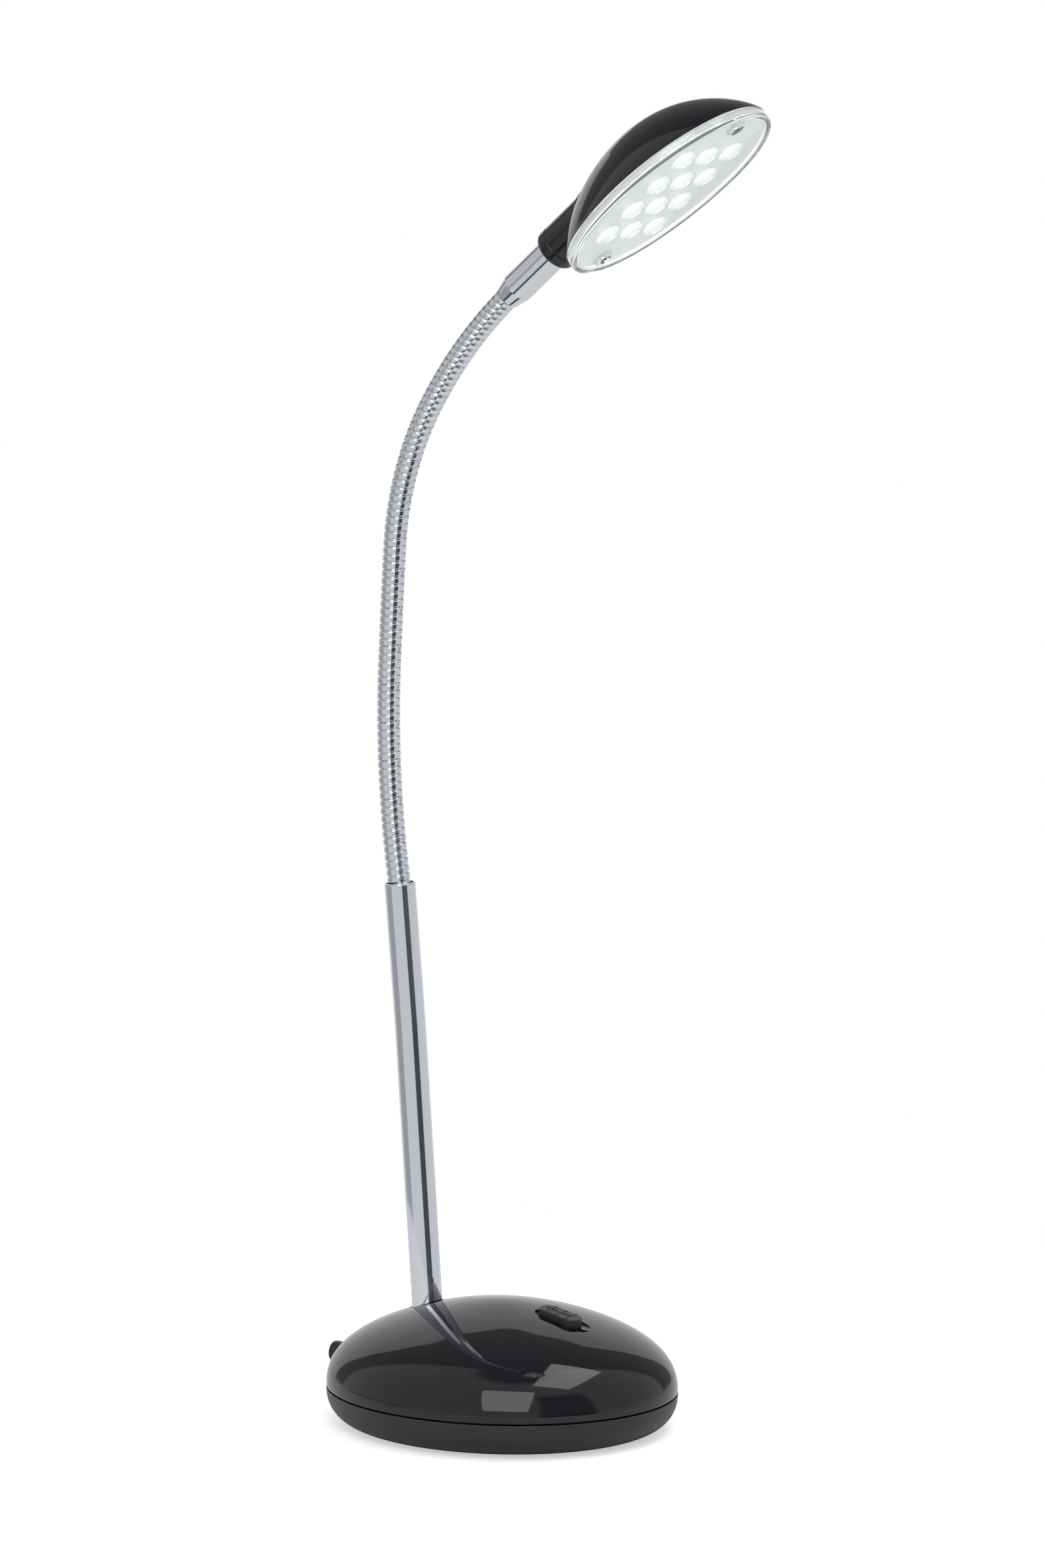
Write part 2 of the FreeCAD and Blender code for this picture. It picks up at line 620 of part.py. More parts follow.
def make_stem_tube():
    """Tube with one slight bend and a rounded mouth, in its own frame with the foot on Z."""
    kink = math.radians(size("stem_kink"))
    radius = size("stem_kink_radius")
    tangent = radius * math.tan(kink / 2)
    start = FreeCAD.Vector(0, 0, size("stem_start"))
    before = FreeCAD.Vector(0, 0, size("stem_kink_at") - tangent)
    middle = before + FreeCAD.Vector(radius * (math.cos(kink / 2) - 1), 0, radius * math.sin(kink / 2))
    after = before + FreeCAD.Vector(radius * (math.cos(kink) - 1), 0, radius * math.sin(kink))
    path = Part.Wire([
        Part.LineSegment(start, before).toShape(),
        Part.Arc(before, middle, after).toShape(),
        Part.LineSegment(after, stem_mouth.Base).toShape(),
    ])
    outer_radius = size("stem_radius")
    solids = []
    for section in (outer_radius, outer_radius - size("stem_wall")):
        ring = Part.Wire(Part.makeCircle(section, start))
        solids.append(path.makePipeShell([ring], True, True))
    tube = solids[0].cut(solids[1])
    rim = [
        edge for edge in tube.Edges
        if len(edge.Vertexes) == 1 and abs(edge.Curve.Radius - outer_radius) < 0.01
        and (edge.Curve.Center - stem_mouth.Base).Length < 0.01
    ]
    return tube.makeFillet(size("stem_lip_round"), rim)


# Flexible neck: links of a strip-wound hose, each a ruled loft through circles


def zone_bends():
    zones = ("neck_bend_lower", "neck_bend_waist", "neck_bend_curve", "neck_bend_upper")
    return [size(name) for name, count in zip(zones, LINKS_PER_ZONE) for link in range(count)]


def along_link(frame, bend, distance):
    """Point and direction at a distance along a link, which is an arc and runs straight past its ends."""
    x, z, angle = frame
    inside = min(max(distance, 0.0), link_length)
    turned = angle - bend * inside / link_length
    curve = link_length / math.radians(bend)
    x += curve * (math.sin(math.radians(angle)) - math.sin(math.radians(turned)))
    z -= curve * (math.cos(math.radians(angle)) - math.cos(math.radians(turned)))
    past = distance - inside
    x += past * math.cos(math.radians(turned))
    z += past * math.sin(math.radians(turned))
    return x, z, turned


def neck_circle(frame, bend, distance, radius):
    """Circle square to the link, its start always on the plane of the neck."""
    x, z, angle = along_link(frame, bend, distance)
    ring = Part.Wire(Part.makeCircle(radius))
    ring.Placement = FreeCAD.Placement(
        FreeCAD.Vector(x, 0, z), FreeCAD.Rotation(AXIS_Y, 90 - angle))
    return ring


def nose_stations(end):
    """Stations of a ball nose about a joint that lies at end."""
    ball = size("neck_nose_radius")
    reach = size("neck_nose_reach")
    places = (-size("neck_joint_gap") / 2 + 0.05, 0.0, reach / 2, reach)
    return [(end + place, math.sqrt(ball ** 2 - place ** 2)) for place in places]


def make_link(frame, bend):
    """Turns with flat bands and narrow grooves, a ball nose above, and a bore with a socket below."""
    gap = size("neck_groove_width") / 2
    pitch = size("neck_pitch")
    end_gap = size("neck_joint_gap") / 2
    outer = [(end_gap, size("neck_groove_radius"))]
    for turn in range(TURNS_PER_LINK):
        outer.append((turn * pitch + gap, size("neck_radius")))
        outer.append(((turn + 1) * pitch - gap, size("neck_radius")))
        outer.append(((turn + 1) * pitch, size("neck_groove_radius")))
    outer[-1] = (link_length - end_gap, size("neck_groove_radius"))
    outer += nose_stations(link_length)
    socket = size("neck_nose_radius") + size("neck_socket_gap")
    depth = size("neck_socket_depth")
    bore = size("neck_bore_radius")
    inner = [
        (end_gap - CUT_MARGIN, socket),
        (depth, socket),
        (depth + socket - bore, bore),
        (link_length, bore),
        (link_length + size("neck_nose_reach") + CUT_MARGIN, bore),
    ]
    solids = []
    for stations in (outer, inner):
        rings = [neck_circle(frame, bend, place, radius) for place, radius in stations]
        solids.append(Part.makeLoft(rings, True, True))
    return solids[0].cut(solids[1])


def make_neck_fitting():
    """Plug in the tube's mouth with the nose that the first link sits on."""
    plug_radius = size("stem_radius") - size("stem_wall") - size("turn_clearance")
    length = size("fitting_length")
    plug = moved(cylinder(plug_radius, -length, 0), neck_seat_place)
    frame = neck_frames[0]
    bend = zone_bends()[0]
    stations = [(-length / 2, size("neck_nose_radius") * 0.9)] + nose_stations(0.0)
    nose = Part.makeLoft([neck_circle(frame, bend, *station) for station in stations], True, True)
    bore = Part.makeLoft([
        neck_circle(frame, bend, place, size("neck_bore_radius"))
        for place in (-2 * length, CUT_MARGIN + size("neck_nose_reach"))], True, True)
    return plug.fuse(nose).cut(bore)


link_length = size("neck_pitch") * TURNS_PER_LINK
kink_angle = math.radians(size("stem_kink"))
beyond = size("stem_length") - size("stem_kink_at")
stem_mouth = FreeCAD.Placement(
    FreeCAD.Vector(-beyond * math.sin(kink_angle), 0, size("stem_kink_at") + beyond * math.cos(kink_angle)),
    FreeCAD.Rotation(AXIS_Y, -size("stem_kink")))
seat = FreeCAD.Placement(FreeCAD.Vector(0, 0, -size("neck_seat")), FreeCAD.Rotation())
neck_seat_place = stem_place.multiply(stem_mouth).multiply(seat)

neck_frames = [(neck_seat_place.Base.x, neck_seat_place.Base.z, size("neck_start_angle"))]
for bend_angle in zone_bends():
    neck_frames.append(along_link(neck_frames[-1], bend_angle, link_length))
end_x, end_z, head_tilt = neck_frames[-1]

# The head's frame: X along the collar's axis, away from the neck, and Z to the dome's side
head_place = FreeCAD.Placement(
    FreeCAD.Vector(end_x, 0, end_z), FreeCAD.Rotation(AXIS_Y, -head_tilt))
axis_place = head_place.multiply(
    FreeCAD.Placement(FreeCAD.Vector(), FreeCAD.Rotation(AXIS_Y, 90)))

# Head

face_outer = -size("face_drop")
face_inner = face_outer + size("cover_face")
rim_top = face_outer + size("cover_height")
plate_under = face_inner + size("lens_height")
plate_top = plate_under + size("plate_thickness")
head_reach = [size("head_front"), size("head_rear"), size("head_half_width")]
head_powers = (size("head_side_power"), size("head_top_power"))
head_shift = FreeCAD.Placement(FreeCAD.Vector(size("head_middle"), 0, 0), FreeCAD.Rotation())
screw_xs = [
    size("grid_middle") + side * size("cover_screw_spacing") / 2
    for side in (-1, 1)
]


def head_dome_rise(x):
    """Height of the head's dome over its middle line at x."""
    reach = head_reach[0] if x > size("head_middle") else head_reach[1]
    share = 1 - min(abs(x - size("head_middle")) / reach, 1.0) ** head_powers[0]
    return rim_top + size("head_dome_height") * share ** (1 / head_powers[1])


def behind_tail():
    """Space behind the head's flat tail."""
    cut = size("head_tail_cut")
    return block(2 * cut, 2 * head_reach[2], face_outer - CUT_MARGIN, size("head_dome_height"), 0)


def make_head_shell():
    """Hollow dome with a flat tail, a hood round the holder and two screw bosses."""
    wall = size("head_wall")
    height = size("head_dome_height")
    outer = moved(oval_dome(head_reach, height, head_powers, rim_top), head_shift)
    inner = moved(oval_dome(drawn_in(head_reach, wall), height - wall, head_powers, rim_top), head_shift)
    shell = outer.cut(inner)
    boss_radius = size("cover_boss_radius")
    rear, front = screw_xs
    front_top = head_dome_rise(front + boss_radius) - wall / 2
    shell = shell.fuse(cylinder(boss_radius, rim_top, front_top, front))
    hole_radius = size("holder_radius") + size("fit_clearance")
    shell = shell.fuse(block(
        rear - size("head_tail_cut"), boss_radius, rim_top, -hole_radius,
        (rear + size("head_tail_cut")) / 2))
    shell = shell.fuse(cylinder(boss_radius, rim_top, -hole_radius, rear))
    shell = shell.fuse(cross_cylinder(
        hole_radius + size("hood_wall"), size("hood_low_start"), size("hood_end")))
    shell = shell.cut(behind_tail())
    low = FreeCAD.Vector(size("hood_low_start"), 0, -hole_radius)
    run = size("hood_top_start") - size("hood_low_start")
    slope = math.degrees(math.atan2(2 * hole_radius, run))
    space = block(6 * run, 6 * run, 0, 4 * hole_radius)
    shell = shell.cut(moved(space, FreeCAD.Placement(low, FreeCAD.Rotation(AXIS_Y, -slope))))
    shell = shell.cut(cross_cylinder(hole_radius, 0, size("holder_end") + size("fit_clearance")))
    shell = shell.cut(cross_cylinder(
        size("holder_cable_radius"), size("holder_end") - CUT_MARGIN, size("hood_end") + CUT_MARGIN))
    for x in screw_xs:
        pilot_top = face_inner + size("cover_screw_reach") + CUT_MARGIN / 2
        shell = shell.cut(cylinder(size("cover_shank_radius"), rim_top - CUT_MARGIN, pilot_top, x))
    return shell


def light_places():
    pitch = size("light_pitch")
    return [
        (size("grid_middle") + (row - (LIGHT_ROWS - 1) / 2) * pitch, (column - (LIGHT_COLUMNS - 1) / 2) * pitch)
        for row in range(LIGHT_ROWS)
        for column in range(LIGHT_COLUMNS)
    ]


def make_face_cover():
    """Clear pan with a rounded outer edge, twelve lens rings and two screw bosses."""
    cover = oval_prism(head_reach, face_outer, rim_top)
    lower = [edge for edge in cover.Edges if abs(edge.BoundBox.ZMax - face_outer) < 0.001]
    cover = cover.makeFillet(size("cover_round"), lower)
    inner = drawn_in(head_reach, size("cover_wall"))
    cover = moved(cover.cut(oval_prism(inner, face_inner, rim_top + CUT_MARGIN)), head_shift)
    for x, y in light_places():
        ring = cylinder(size("lens_radius"), face_inner - size("cover_face") / 2, plate_under, x, y)
        ring = ring.cut(cylinder(
            size("lens_radius") - size("lens_wall"), face_inner, plate_under + CUT_MARGIN, x, y))
        cover = cover.fuse(ring)
    for x in screw_xs:
        cover = cover.fuse(cylinder(size("cover_boss_radius"), face_outer + size("cover_face") / 2, rim_top, x))
        head_hole = size("cover_head_radius") + size("fit_clearance")
        cover = cover.cut(cylinder(head_hole, face_outer - CUT_MARGIN, face_inner, x))
        shank_hole = size("cover_shank_radius") + size("fit_clearance")
        cover = cover.cut(cylinder(shank_hole, face_outer, rim_top + CUT_MARGIN, x))
    return cover.cut(behind_tail())


def make_silver_plate():
    """Plate with rounded corners and a conical cup for each light."""
    plate = block(size("plate_length"), size("plate_width"), plate_under, plate_top, size("grid_middle"))
    corners = [edge for edge in plate.Edges if abs(edge.Length - size("plate_thickness")) < 0.001]
    plate = plate.makeFillet(size("plate_corner"), corners)
    for x, y in light_places():
        plate = plate.cut(Part.makeCone(
            size("lens_radius") - size("lens_wall"), size("cup_throat_radius"), size("plate_thickness"),
            FreeCAD.Vector(x, y, plate_under)))
    return plate


def make_lights():
    """Twelve round lights that hang from their board."""
    solids = []
    tip = plate_top - size("light_height")
    for x, y in light_places():
        light = cylinder(size("light_radius"), tip, plate_top, x, y)
        edges = [edge for edge in light.Edges if abs(edge.BoundBox.ZMax - tip) < 0.001]
        solids.append(light.makeFillet(size("light_height") * 0.6, edges))
    return Part.makeCompound(solids)


# Worked-out sub-parts

new_feature("base_shell", make_base_shell())
new_feature("base_tray", make_base_tray())
new_feature("rest_pad", oval_prism(pad_reach, 0, size("pad_thickness")))
new_feature("ballast_weight", make_ballast())
tray_screw = make_screw(
    size("fixing_head_radius"), size("fixing_head_height"),
    size("fixing_shank_radius") - size("turn_clearance"), size("fixing_reach"))
new_feature("tray_screws", screws_at(tray_screw, fixing_places(), size("fixing_seat")))
new_feature("stem_tube", make_stem_tube(), stem_place)
new_feature("neck_fitting", make_neck_fitting())
for number, bend_angle in enumerate(zone_bends()):
    new_feature("neck_link_%02d" % (number + 1), make_link(neck_frames[number], bend_angle))
new_feature("head_shell", make_head_shell(), head_place)
new_feature("face_cover", make_face_cover(), head_place)
new_feature("silver_plate", make_silver_plate(), head_place)
new_feature("lights", make_lights(), head_place)
cover_screw = make_screw(
    size("cover_head_radius"), size("cover_head_height"),
    size("cover_shank_radius") - size("turn_clearance"), size("cover_screw_reach"))
new_feature("cover_screws", screws_at(cover_screw, [(x, 0) for x in screw_xs], face_inner), head_place)


# Sub-parts drawn as bodies


def make_ring(label, placement, inner, outer, bottom, top):
    """Turned ring about its own Z."""
    body = new_body(label, placement)
    sketch = new_sketch(body, label + "_profile", "XZ_Plane")
    draw_outline(sketch, [(inner, bottom), (outer, bottom), (outer, top), (inner, top)])
    add_feature(body, "Revolution", label + "_turned", sketch)
    return body


stem_bore = "stem_radius + turn_clearance"

flange_top = "stem_boss_top + flange_height"
stem_flange = make_ring("stem_flange", stem_place, stem_bore, "flange_radius", "stem_boss_top", flange_top)
flange_edge = at_height(size("stem_boss_top") + size("flange_height"))
add_fillet(
    stem_flange, "flange_round",
    lambda edge: flange_edge(edge) and abs(edge.Curve.Radius - size("flange_radius")) < 0.01,
    "flange_height / 3")

washer_bottom = "stem_pocket_top - washer_height"
make_ring("stem_washer", stem_place, stem_bore, "washer_radius", washer_bottom, "stem_pocket_top")

stem_nut = new_body("stem_nut", stem_place)
nut_outline = new_sketch(
    stem_nut, "nut_outline", "XY_Plane", "stem_pocket_top - washer_height - nut_height")
draw_outline(nut_outline, [
    ("nut_radius * cos(%d)" % angle, "nut_radius * sin(%d)" % angle) if angle % 180
    else ("nut_radius * %d" % (1 if angle == 0 else -1), "0")
    for angle in range(0, 360, 60)])
draw_circle(nut_outline, "0", "0", stem_bore)
add_feature(stem_nut, "Pad", "nut_pad", nut_outline, "nut_height")

inlet_place = FreeCAD.Placement(
    FreeCAD.Vector(0, 0, size("inlet_height")), FreeCAD.Rotation(AXIS_Y, -90))
cable_inlet = new_body("cable_inlet", inlet_place)
inlet_profile = new_sketch(cable_inlet, "inlet_profile", "XZ_Plane")
collar_face = "base_length / 2 - inlet_back_wall"
collar_back = collar_face + " - inlet_collar_length"
inlet_inside = collar_back + " - inlet_collar_length"
draw_outline(inlet_profile, [
    ("inlet_bore_radius", inlet_inside),
    ("inlet_radius", inlet_inside),
    ("inlet_radius", collar_back),
    ("inlet_collar_radius", collar_back),
    ("inlet_collar_radius", collar_face),
    ("inlet_radius", collar_face),
    ("inlet_radius", "inlet_reach"),
    ("inlet_bore_radius", "inlet_reach"),
])
add_feature(cable_inlet, "Revolution", "inlet_turned", inlet_profile)
add_fillet(cable_inlet, "inlet_mouth_round", at_height(size("inlet_reach")), "inlet_radius / 6")

collar = new_body("neck_collar", axis_place)
collar_profile = new_sketch(collar, "collar_profile", "XZ_Plane")
nose_pocket = "neck_nose_radius + neck_socket_gap"
draw_outline(collar_profile, [
    ("collar_bore_radius", "-collar_overlap"),
    ("collar_taper_radius", "-collar_overlap"),
    ("collar_radius", "collar_taper - collar_overlap"),
    ("collar_radius", "collar_length"),
    ("neck_bore_radius", "collar_length"),
    ("neck_bore_radius", "neck_socket_depth + " + nose_pocket + " - neck_bore_radius"),
    (nose_pocket, "neck_socket_depth"),
    (nose_pocket, "neck_joint_gap / 2"),
    ("collar_bore_radius", "neck_joint_gap / 2"),
])
add_feature(collar, "Revolution", "collar_turned", collar_profile)

holder = new_body("head_holder", axis_place)
holder_profile = new_sketch(holder, "holder_profile", "XZ_Plane")
holder_bore = "collar_radius + turn_clearance"
draw_outline(holder_profile, [
    (holder_bore, "holder_start"),
    ("holder_radius", "holder_start"),
    ("holder_radius", "holder_end"),
    ("holder_cable_radius", "holder_end"),
    ("holder_cable_radius", "collar_length"),
    (holder_bore, "collar_length"),
])
add_feature(holder, "Revolution", "holder_turned", holder_profile)
mouth_edge = at_height(size("holder_start"))
add_fillet(
    holder, "holder_mouth_round",
    lambda edge: mouth_edge(edge) and abs(edge.Curve.Radius - size("holder_radius")) < 0.01,
    "holder_radius - collar_radius - turn_clearance - fit_clearance")

switch_cap = new_body("switch_cap", switch_place)
cap_outline = new_sketch(switch_cap, "cap_outline", "XY_Plane", "cap_float - recess_depth")
cap_middle = "(cap_length - recess_length) / 2 + cap_back_gap"
draw_slot(cap_outline, cap_middle, "cap_length", "cap_width")
cap_height = "recess_depth - cap_float + cap_proud - cap_ridge_height"
add_feature(switch_cap, "Pad", "cap_pad", cap_outline, cap_height)
cap_top = size("cap_proud") - size("cap_ridge_height")
add_fillet(switch_cap, "cap_round", at_height(cap_top), "cap_round")
ridge_outline = new_sketch(switch_cap, "ridge_outline", "XY_Plane", "cap_proud - cap_ridge_height - cap_round")
for ridge in range(CAP_RIDGES):
    ridge_x = "%s + (%d - (%d - 1) / 2) * cap_ridge_pitch + cap_ridge_shift" % (cap_middle, ridge, CAP_RIDGES)
    draw_box(ridge_outline, "cap_ridge_width", "cap_width - 2 * cap_round", ridge_x)
add_feature(switch_cap, "Pad", "ridge_pad", ridge_outline, "cap_ridge_height + cap_round")
dimple = new_sketch(switch_cap, "dimple_outline", "XY_Plane", "cap_proud - cap_ridge_height")
draw_circle(dimple, cap_middle + " - cap_length / 2 + 2.6 * cap_dimple_radius", "0", "cap_dimple_radius")
add_feature(switch_cap, "Pocket", "dimple_pocket", dimple, "cap_dimple_depth")
tongue = new_sketch(switch_cap, "tongue_outline", "XY_Plane", "cap_float - recess_depth")
draw_box(tongue, "tongue_length", "tongue_width", cap_middle)
add_feature(switch_cap, "Pad", "tongue_pad", tongue, "tongue_reach + cap_float", True)

switch_body = new_body("switch_body", switch_place)
body_outline = new_sketch(switch_body, "switch_outline", "XY_Plane", "-recess_depth - recess_floor")
draw_box(body_outline, "switch_body_length", "switch_body_width")
add_feature(switch_body, "Pad", "switch_pad", body_outline, "switch_body_height", True)
body_slot = new_sketch(switch_body, "switch_slot", "XY_Plane", "-recess_depth - recess_floor")
draw_box(
    body_slot, "tongue_length + switch_travel + 2 * hole_clearance",
    "tongue_width + 2 * hole_clearance", cap_middle + " + switch_travel / 2")
add_feature(switch_body, "Pocket", "switch_slot_pocket", body_slot, "switch_body_height - recess_floor")

board_place = FreeCAD.Placement(
    FreeCAD.Vector(size("board_x"), 0, ballast_top + size("board_post_height")), FreeCAD.Rotation())
driver_board = new_body("driver_board", board_place)
board_outline = new_sketch(driver_board, "board_outline", "XY_Plane")
draw_box(board_outline, "board_length", "board_width")
add_feature(driver_board, "Pad", "board_pad", board_outline, "board_thickness")
coil_outline = new_sketch(driver_board, "coil_outline", "XY_Plane", "board_thickness")
draw_box(coil_outline, "coil_side", "coil_side", "coil_side - board_length / 2")
add_feature(driver_board, "Pad", "coil_pad", coil_outline, "coil_height")
can_outline = new_sketch(driver_board, "can_outline", "XY_Plane", "board_thickness")
draw_circle(can_outline, "2 * can_radius", "0", "can_radius")
add_feature(driver_board, "Pad", "can_pad", can_outline, "can_height")

light_board_place = head_place.multiply(FreeCAD.Placement(
    FreeCAD.Vector(size("grid_middle"), 0, plate_top), FreeCAD.Rotation()))
light_board = new_body("light_board", light_board_place)
light_board_outline = new_sketch(light_board, "light_board_outline", "XY_Plane")
draw_box(
    light_board_outline, "plate_length - 2 * light_board_margin", "plate_width - 2 * light_board_margin")
add_feature(light_board, "Pad", "light_board_pad", light_board_outline, "light_board_thickness")
add_fillet(
    light_board, "light_board_corners",
    lambda edge: abs(edge.Length - size("light_board_thickness")) < 0.001,
    "plate_corner - light_board_margin")
socket_outline = new_sketch(light_board, "socket_outline", "XY_Plane", "light_board_thickness")
draw_box(socket_outline, "socket_width", "socket_length", "socket_shift")
add_feature(light_board, "Pad", "socket_pad", socket_outline, "socket_height")

# Checks and files

doc.recompute()
os.makedirs("parts", exist_ok=True)
faults = [
    item.Name for item in doc.Objects
    if any(state in ("Invalid", "Error") for state in item.State)
]
for label, item in parts.items():
    shape = item.Shape
    if shape.isNull() or not shape.isValid() or not shape.Solids:
        faults.append(label)
if faults:
    raise RuntimeError("not sound: " + ", ".join(faults))
for label, item in parts.items():
    item.Shape.exportStep("parts/%s.step" % label)
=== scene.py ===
import json
import math

import bmesh
import bpy
import numpy as np
from mathutils import Matrix, Vector

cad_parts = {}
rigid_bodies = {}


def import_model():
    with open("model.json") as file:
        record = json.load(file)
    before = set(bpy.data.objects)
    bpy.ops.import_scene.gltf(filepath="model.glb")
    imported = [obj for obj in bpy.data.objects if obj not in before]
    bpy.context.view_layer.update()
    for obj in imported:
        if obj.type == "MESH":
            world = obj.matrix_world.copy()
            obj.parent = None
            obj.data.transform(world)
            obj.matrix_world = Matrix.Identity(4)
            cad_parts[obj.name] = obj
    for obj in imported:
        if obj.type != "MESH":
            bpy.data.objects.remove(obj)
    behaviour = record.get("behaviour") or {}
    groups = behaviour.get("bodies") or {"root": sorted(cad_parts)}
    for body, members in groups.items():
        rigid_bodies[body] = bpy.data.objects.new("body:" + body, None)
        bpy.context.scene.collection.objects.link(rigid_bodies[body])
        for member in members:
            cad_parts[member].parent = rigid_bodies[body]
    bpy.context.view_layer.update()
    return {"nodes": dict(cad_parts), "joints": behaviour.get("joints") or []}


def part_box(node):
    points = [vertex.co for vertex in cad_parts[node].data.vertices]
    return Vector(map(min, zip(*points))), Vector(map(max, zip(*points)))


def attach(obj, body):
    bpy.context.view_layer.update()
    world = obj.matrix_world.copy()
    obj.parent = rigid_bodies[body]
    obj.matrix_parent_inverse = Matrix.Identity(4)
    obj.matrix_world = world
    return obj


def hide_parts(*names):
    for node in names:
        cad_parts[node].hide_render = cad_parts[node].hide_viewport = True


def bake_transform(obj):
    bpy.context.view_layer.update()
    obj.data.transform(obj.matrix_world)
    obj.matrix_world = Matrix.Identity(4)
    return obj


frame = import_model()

bl_info = {
    "name": "Gooseneck Desk Lamp",
    "version": (1, 0, 0),
    "blender": (4, 5, 0),
    "location": "3D View > Sidebar > Desk Lamp",
    "description": "Finished surfaces and materials of a gooseneck desk lamp with lights in its head",
    "category": "Object",
}

SHELL_LOW, SHELL_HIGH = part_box("base_shell")
HINGES = [joint for joint in frame["joints"] if joint["type"] == "hinge"]
LINKS = len(HINGES) + 1
LIGHT_ROWS = 4
LIGHT_COLUMNS = 3
CAP_RIDGES = 3
HEAD_POWERS = (2.21, 1.22)
PLATE_GAP = 0.001
PLATE_THICKNESS = 0.0018
BLENDS_FROM_CHILD = (4,)


def metres(name, default, description):
    return bpy.props.FloatProperty(
        name=name, description=description, default=default, unit="LENGTH", precision=5)


def degrees(name, default, description):
    return bpy.props.FloatProperty(
        name=name, description=description, default=math.radians(default), subtype="ANGLE")


def colour(name, default, description):
    return bpy.props.FloatVectorProperty(
        name=name, description=description, default=default, size=3, subtype="COLOR", min=0, max=1)


def plain(name, default, description):
    return bpy.props.FloatProperty(name=name, description=description, default=default)


class LampSizes(bpy.types.PropertyGroup):
    """Sizes of the lamp's visible pieces."""

    base_length: metres("Base length", SHELL_HIGH.x - SHELL_LOW.x, "Base, front to back at the seam")
    base_width: metres("Base width", SHELL_HIGH.y - SHELL_LOW.y, "Base, side to side at the seam")
    base_height: metres("Base height", SHELL_HIGH.z, "Top of the dome above the desk")
    seam_height: metres("Seam height", 0.0124, "Seam between tray and dome")
    seam_gap: metres("Seam gap", 0.0005, "Open groove at the seam")
    dome_side_power: plain("Dome side power", 1.48, "How full the dome is towards its sides")
    dome_top_power: plain("Dome top power", 2.4, "How full the dome is towards its top")
    shell_wall: metres("Shell wall", 0.0024, "Wall of the dome")
    tray_undercut: metres("Tray undercut", 0.013, "How far the tray's flat floor stands in")
    tray_power: plain("Tray power", 2.24, "How round the tray's side is")
    tray_under: metres("Tray under", 0.0006, "Underside of the tray above the desk")
    stem_foot: metres("Stem foot", 0.027, "Stem axis behind the middle at desk level")
    stem_lean: degrees("Stem lean", 4.15, "Backward lean of the stem")
    stem_kink: degrees("Stem kink", 0.9, "Further lean above the slight bend")
    stem_kink_at: metres("Kink at", 0.1275, "The slight bend, along the stem")
    stem_length: metres("Stem length", 0.1742, "Mouth of the tube, along the stem")
    stem_radius: metres("Stem radius", 0.005, "Outside of the stem tube")
    stem_wall: metres("Stem wall", 0.0006, "Wall of the stem tube")
    neck_radius: metres("Neck radius", 0.00375, "Outside of the neck")
    neck_groove: metres("Neck groove", 0.0033, "Bottom of the neck's groove")
    neck_pitch: metres("Neck pitch", 0.0025, "One turn of the neck")
    neck_start: bpy.props.FloatVectorProperty(
        name="Neck start", description="Where the neck starts in the tube's mouth",
        default=(-0.040056, 0.0, 0.170497), size=3, subtype="TRANSLATION", precision=6)
    neck_start_angle: degrees("Neck start angle", 99.2, "Direction of the neck at its start")
    switch_slope: degrees("Switch slope", 11.0, "Forward slope of the switch")
    switch_x: metres("Switch x", 0.0242, "Middle of the recess ahead of the middle")
    recess_length: metres("Recess length", 0.0206, "Switch recess, end to end")
    recess_width: metres("Recess width", 0.0096, "Switch recess")
    recess_depth: metres("Recess depth", 0.0011, "Switch recess")
    cap_length: metres("Cap length", 0.0154, "Switch cap, end to end")
    cap_width: metres("Cap width", 0.0076, "Switch cap")
    cap_back_gap: metres("Cap back gap", 0.0013, "Gap behind the cap at rest")
    cap_proud: metres("Cap proud", 0.0021, "Top of the cap above the dome")
    inlet_height: metres("Inlet height", 0.0156, "Cable inlet above the desk")
    inlet_reach: metres("Inlet reach", 0.067, "Outer end of the cable inlet")
    inlet_radius: metres("Inlet radius", 0.0036, "Outside of the cable inlet")
    inlet_bore: metres("Inlet bore", 0.0018, "Bore of the cable inlet")
    collar_radius: metres("Collar radius", 0.00525, "Chrome collar")
    collar_end_radius: metres("Collar end radius", 0.00425, "Tapered end of the collar")
    holder_start: metres("Holder start", 0.0218, "Mouth of the holder, from the neck's end")
    holder_end: metres("Holder end", 0.056, "Inner end of the holder")
    holder_radius: metres("Holder radius", 0.00725, "Outside of the holder")
    hood_wall: metres("Hood wall", 0.0009, "Hood of the dome round the holder")
    hood_top_start: metres("Hood top start", 0.0457, "Hood's slanted edge on top")
    hood_low_start: metres("Hood low start", 0.030, "Hood's slanted edge below")
    face_drop: metres("Face drop", 0.0139, "Lamp face below the collar's axis")
    head_middle: metres("Head middle", 0.0736, "Widest place of the head")
    head_front: metres("Head front", 0.03748, "Head ahead of its widest place")
    head_rear: metres("Head rear", 0.0446, "Head behind its widest place")
    head_half_width: metres("Head half width", 0.0323, "Half of the head's width")
    head_tail_cut: metres("Head tail cut", 0.0302, "Flat tail of the head")
    head_dome: metres("Head dome", 0.0195, "Dome of the head above the cover")
    head_wall: metres("Head wall", 0.002, "Wall of the head's dome")
    cover_height: metres("Cover height", 0.004, "Rim of the clear cover")
    cover_wall: metres("Cover wall", 0.0018, "Wall of the clear cover's rim")
    cover_face: metres("Cover face", 0.0015, "Face of the clear cover")
    grid_middle: metres("Grid middle", 0.0699, "Middle of the lights")
    light_pitch: metres("Light pitch", 0.0129, "Spacing of the lights")
    screw_spacing: metres("Screw spacing", 0.0677, "The two cover screws")


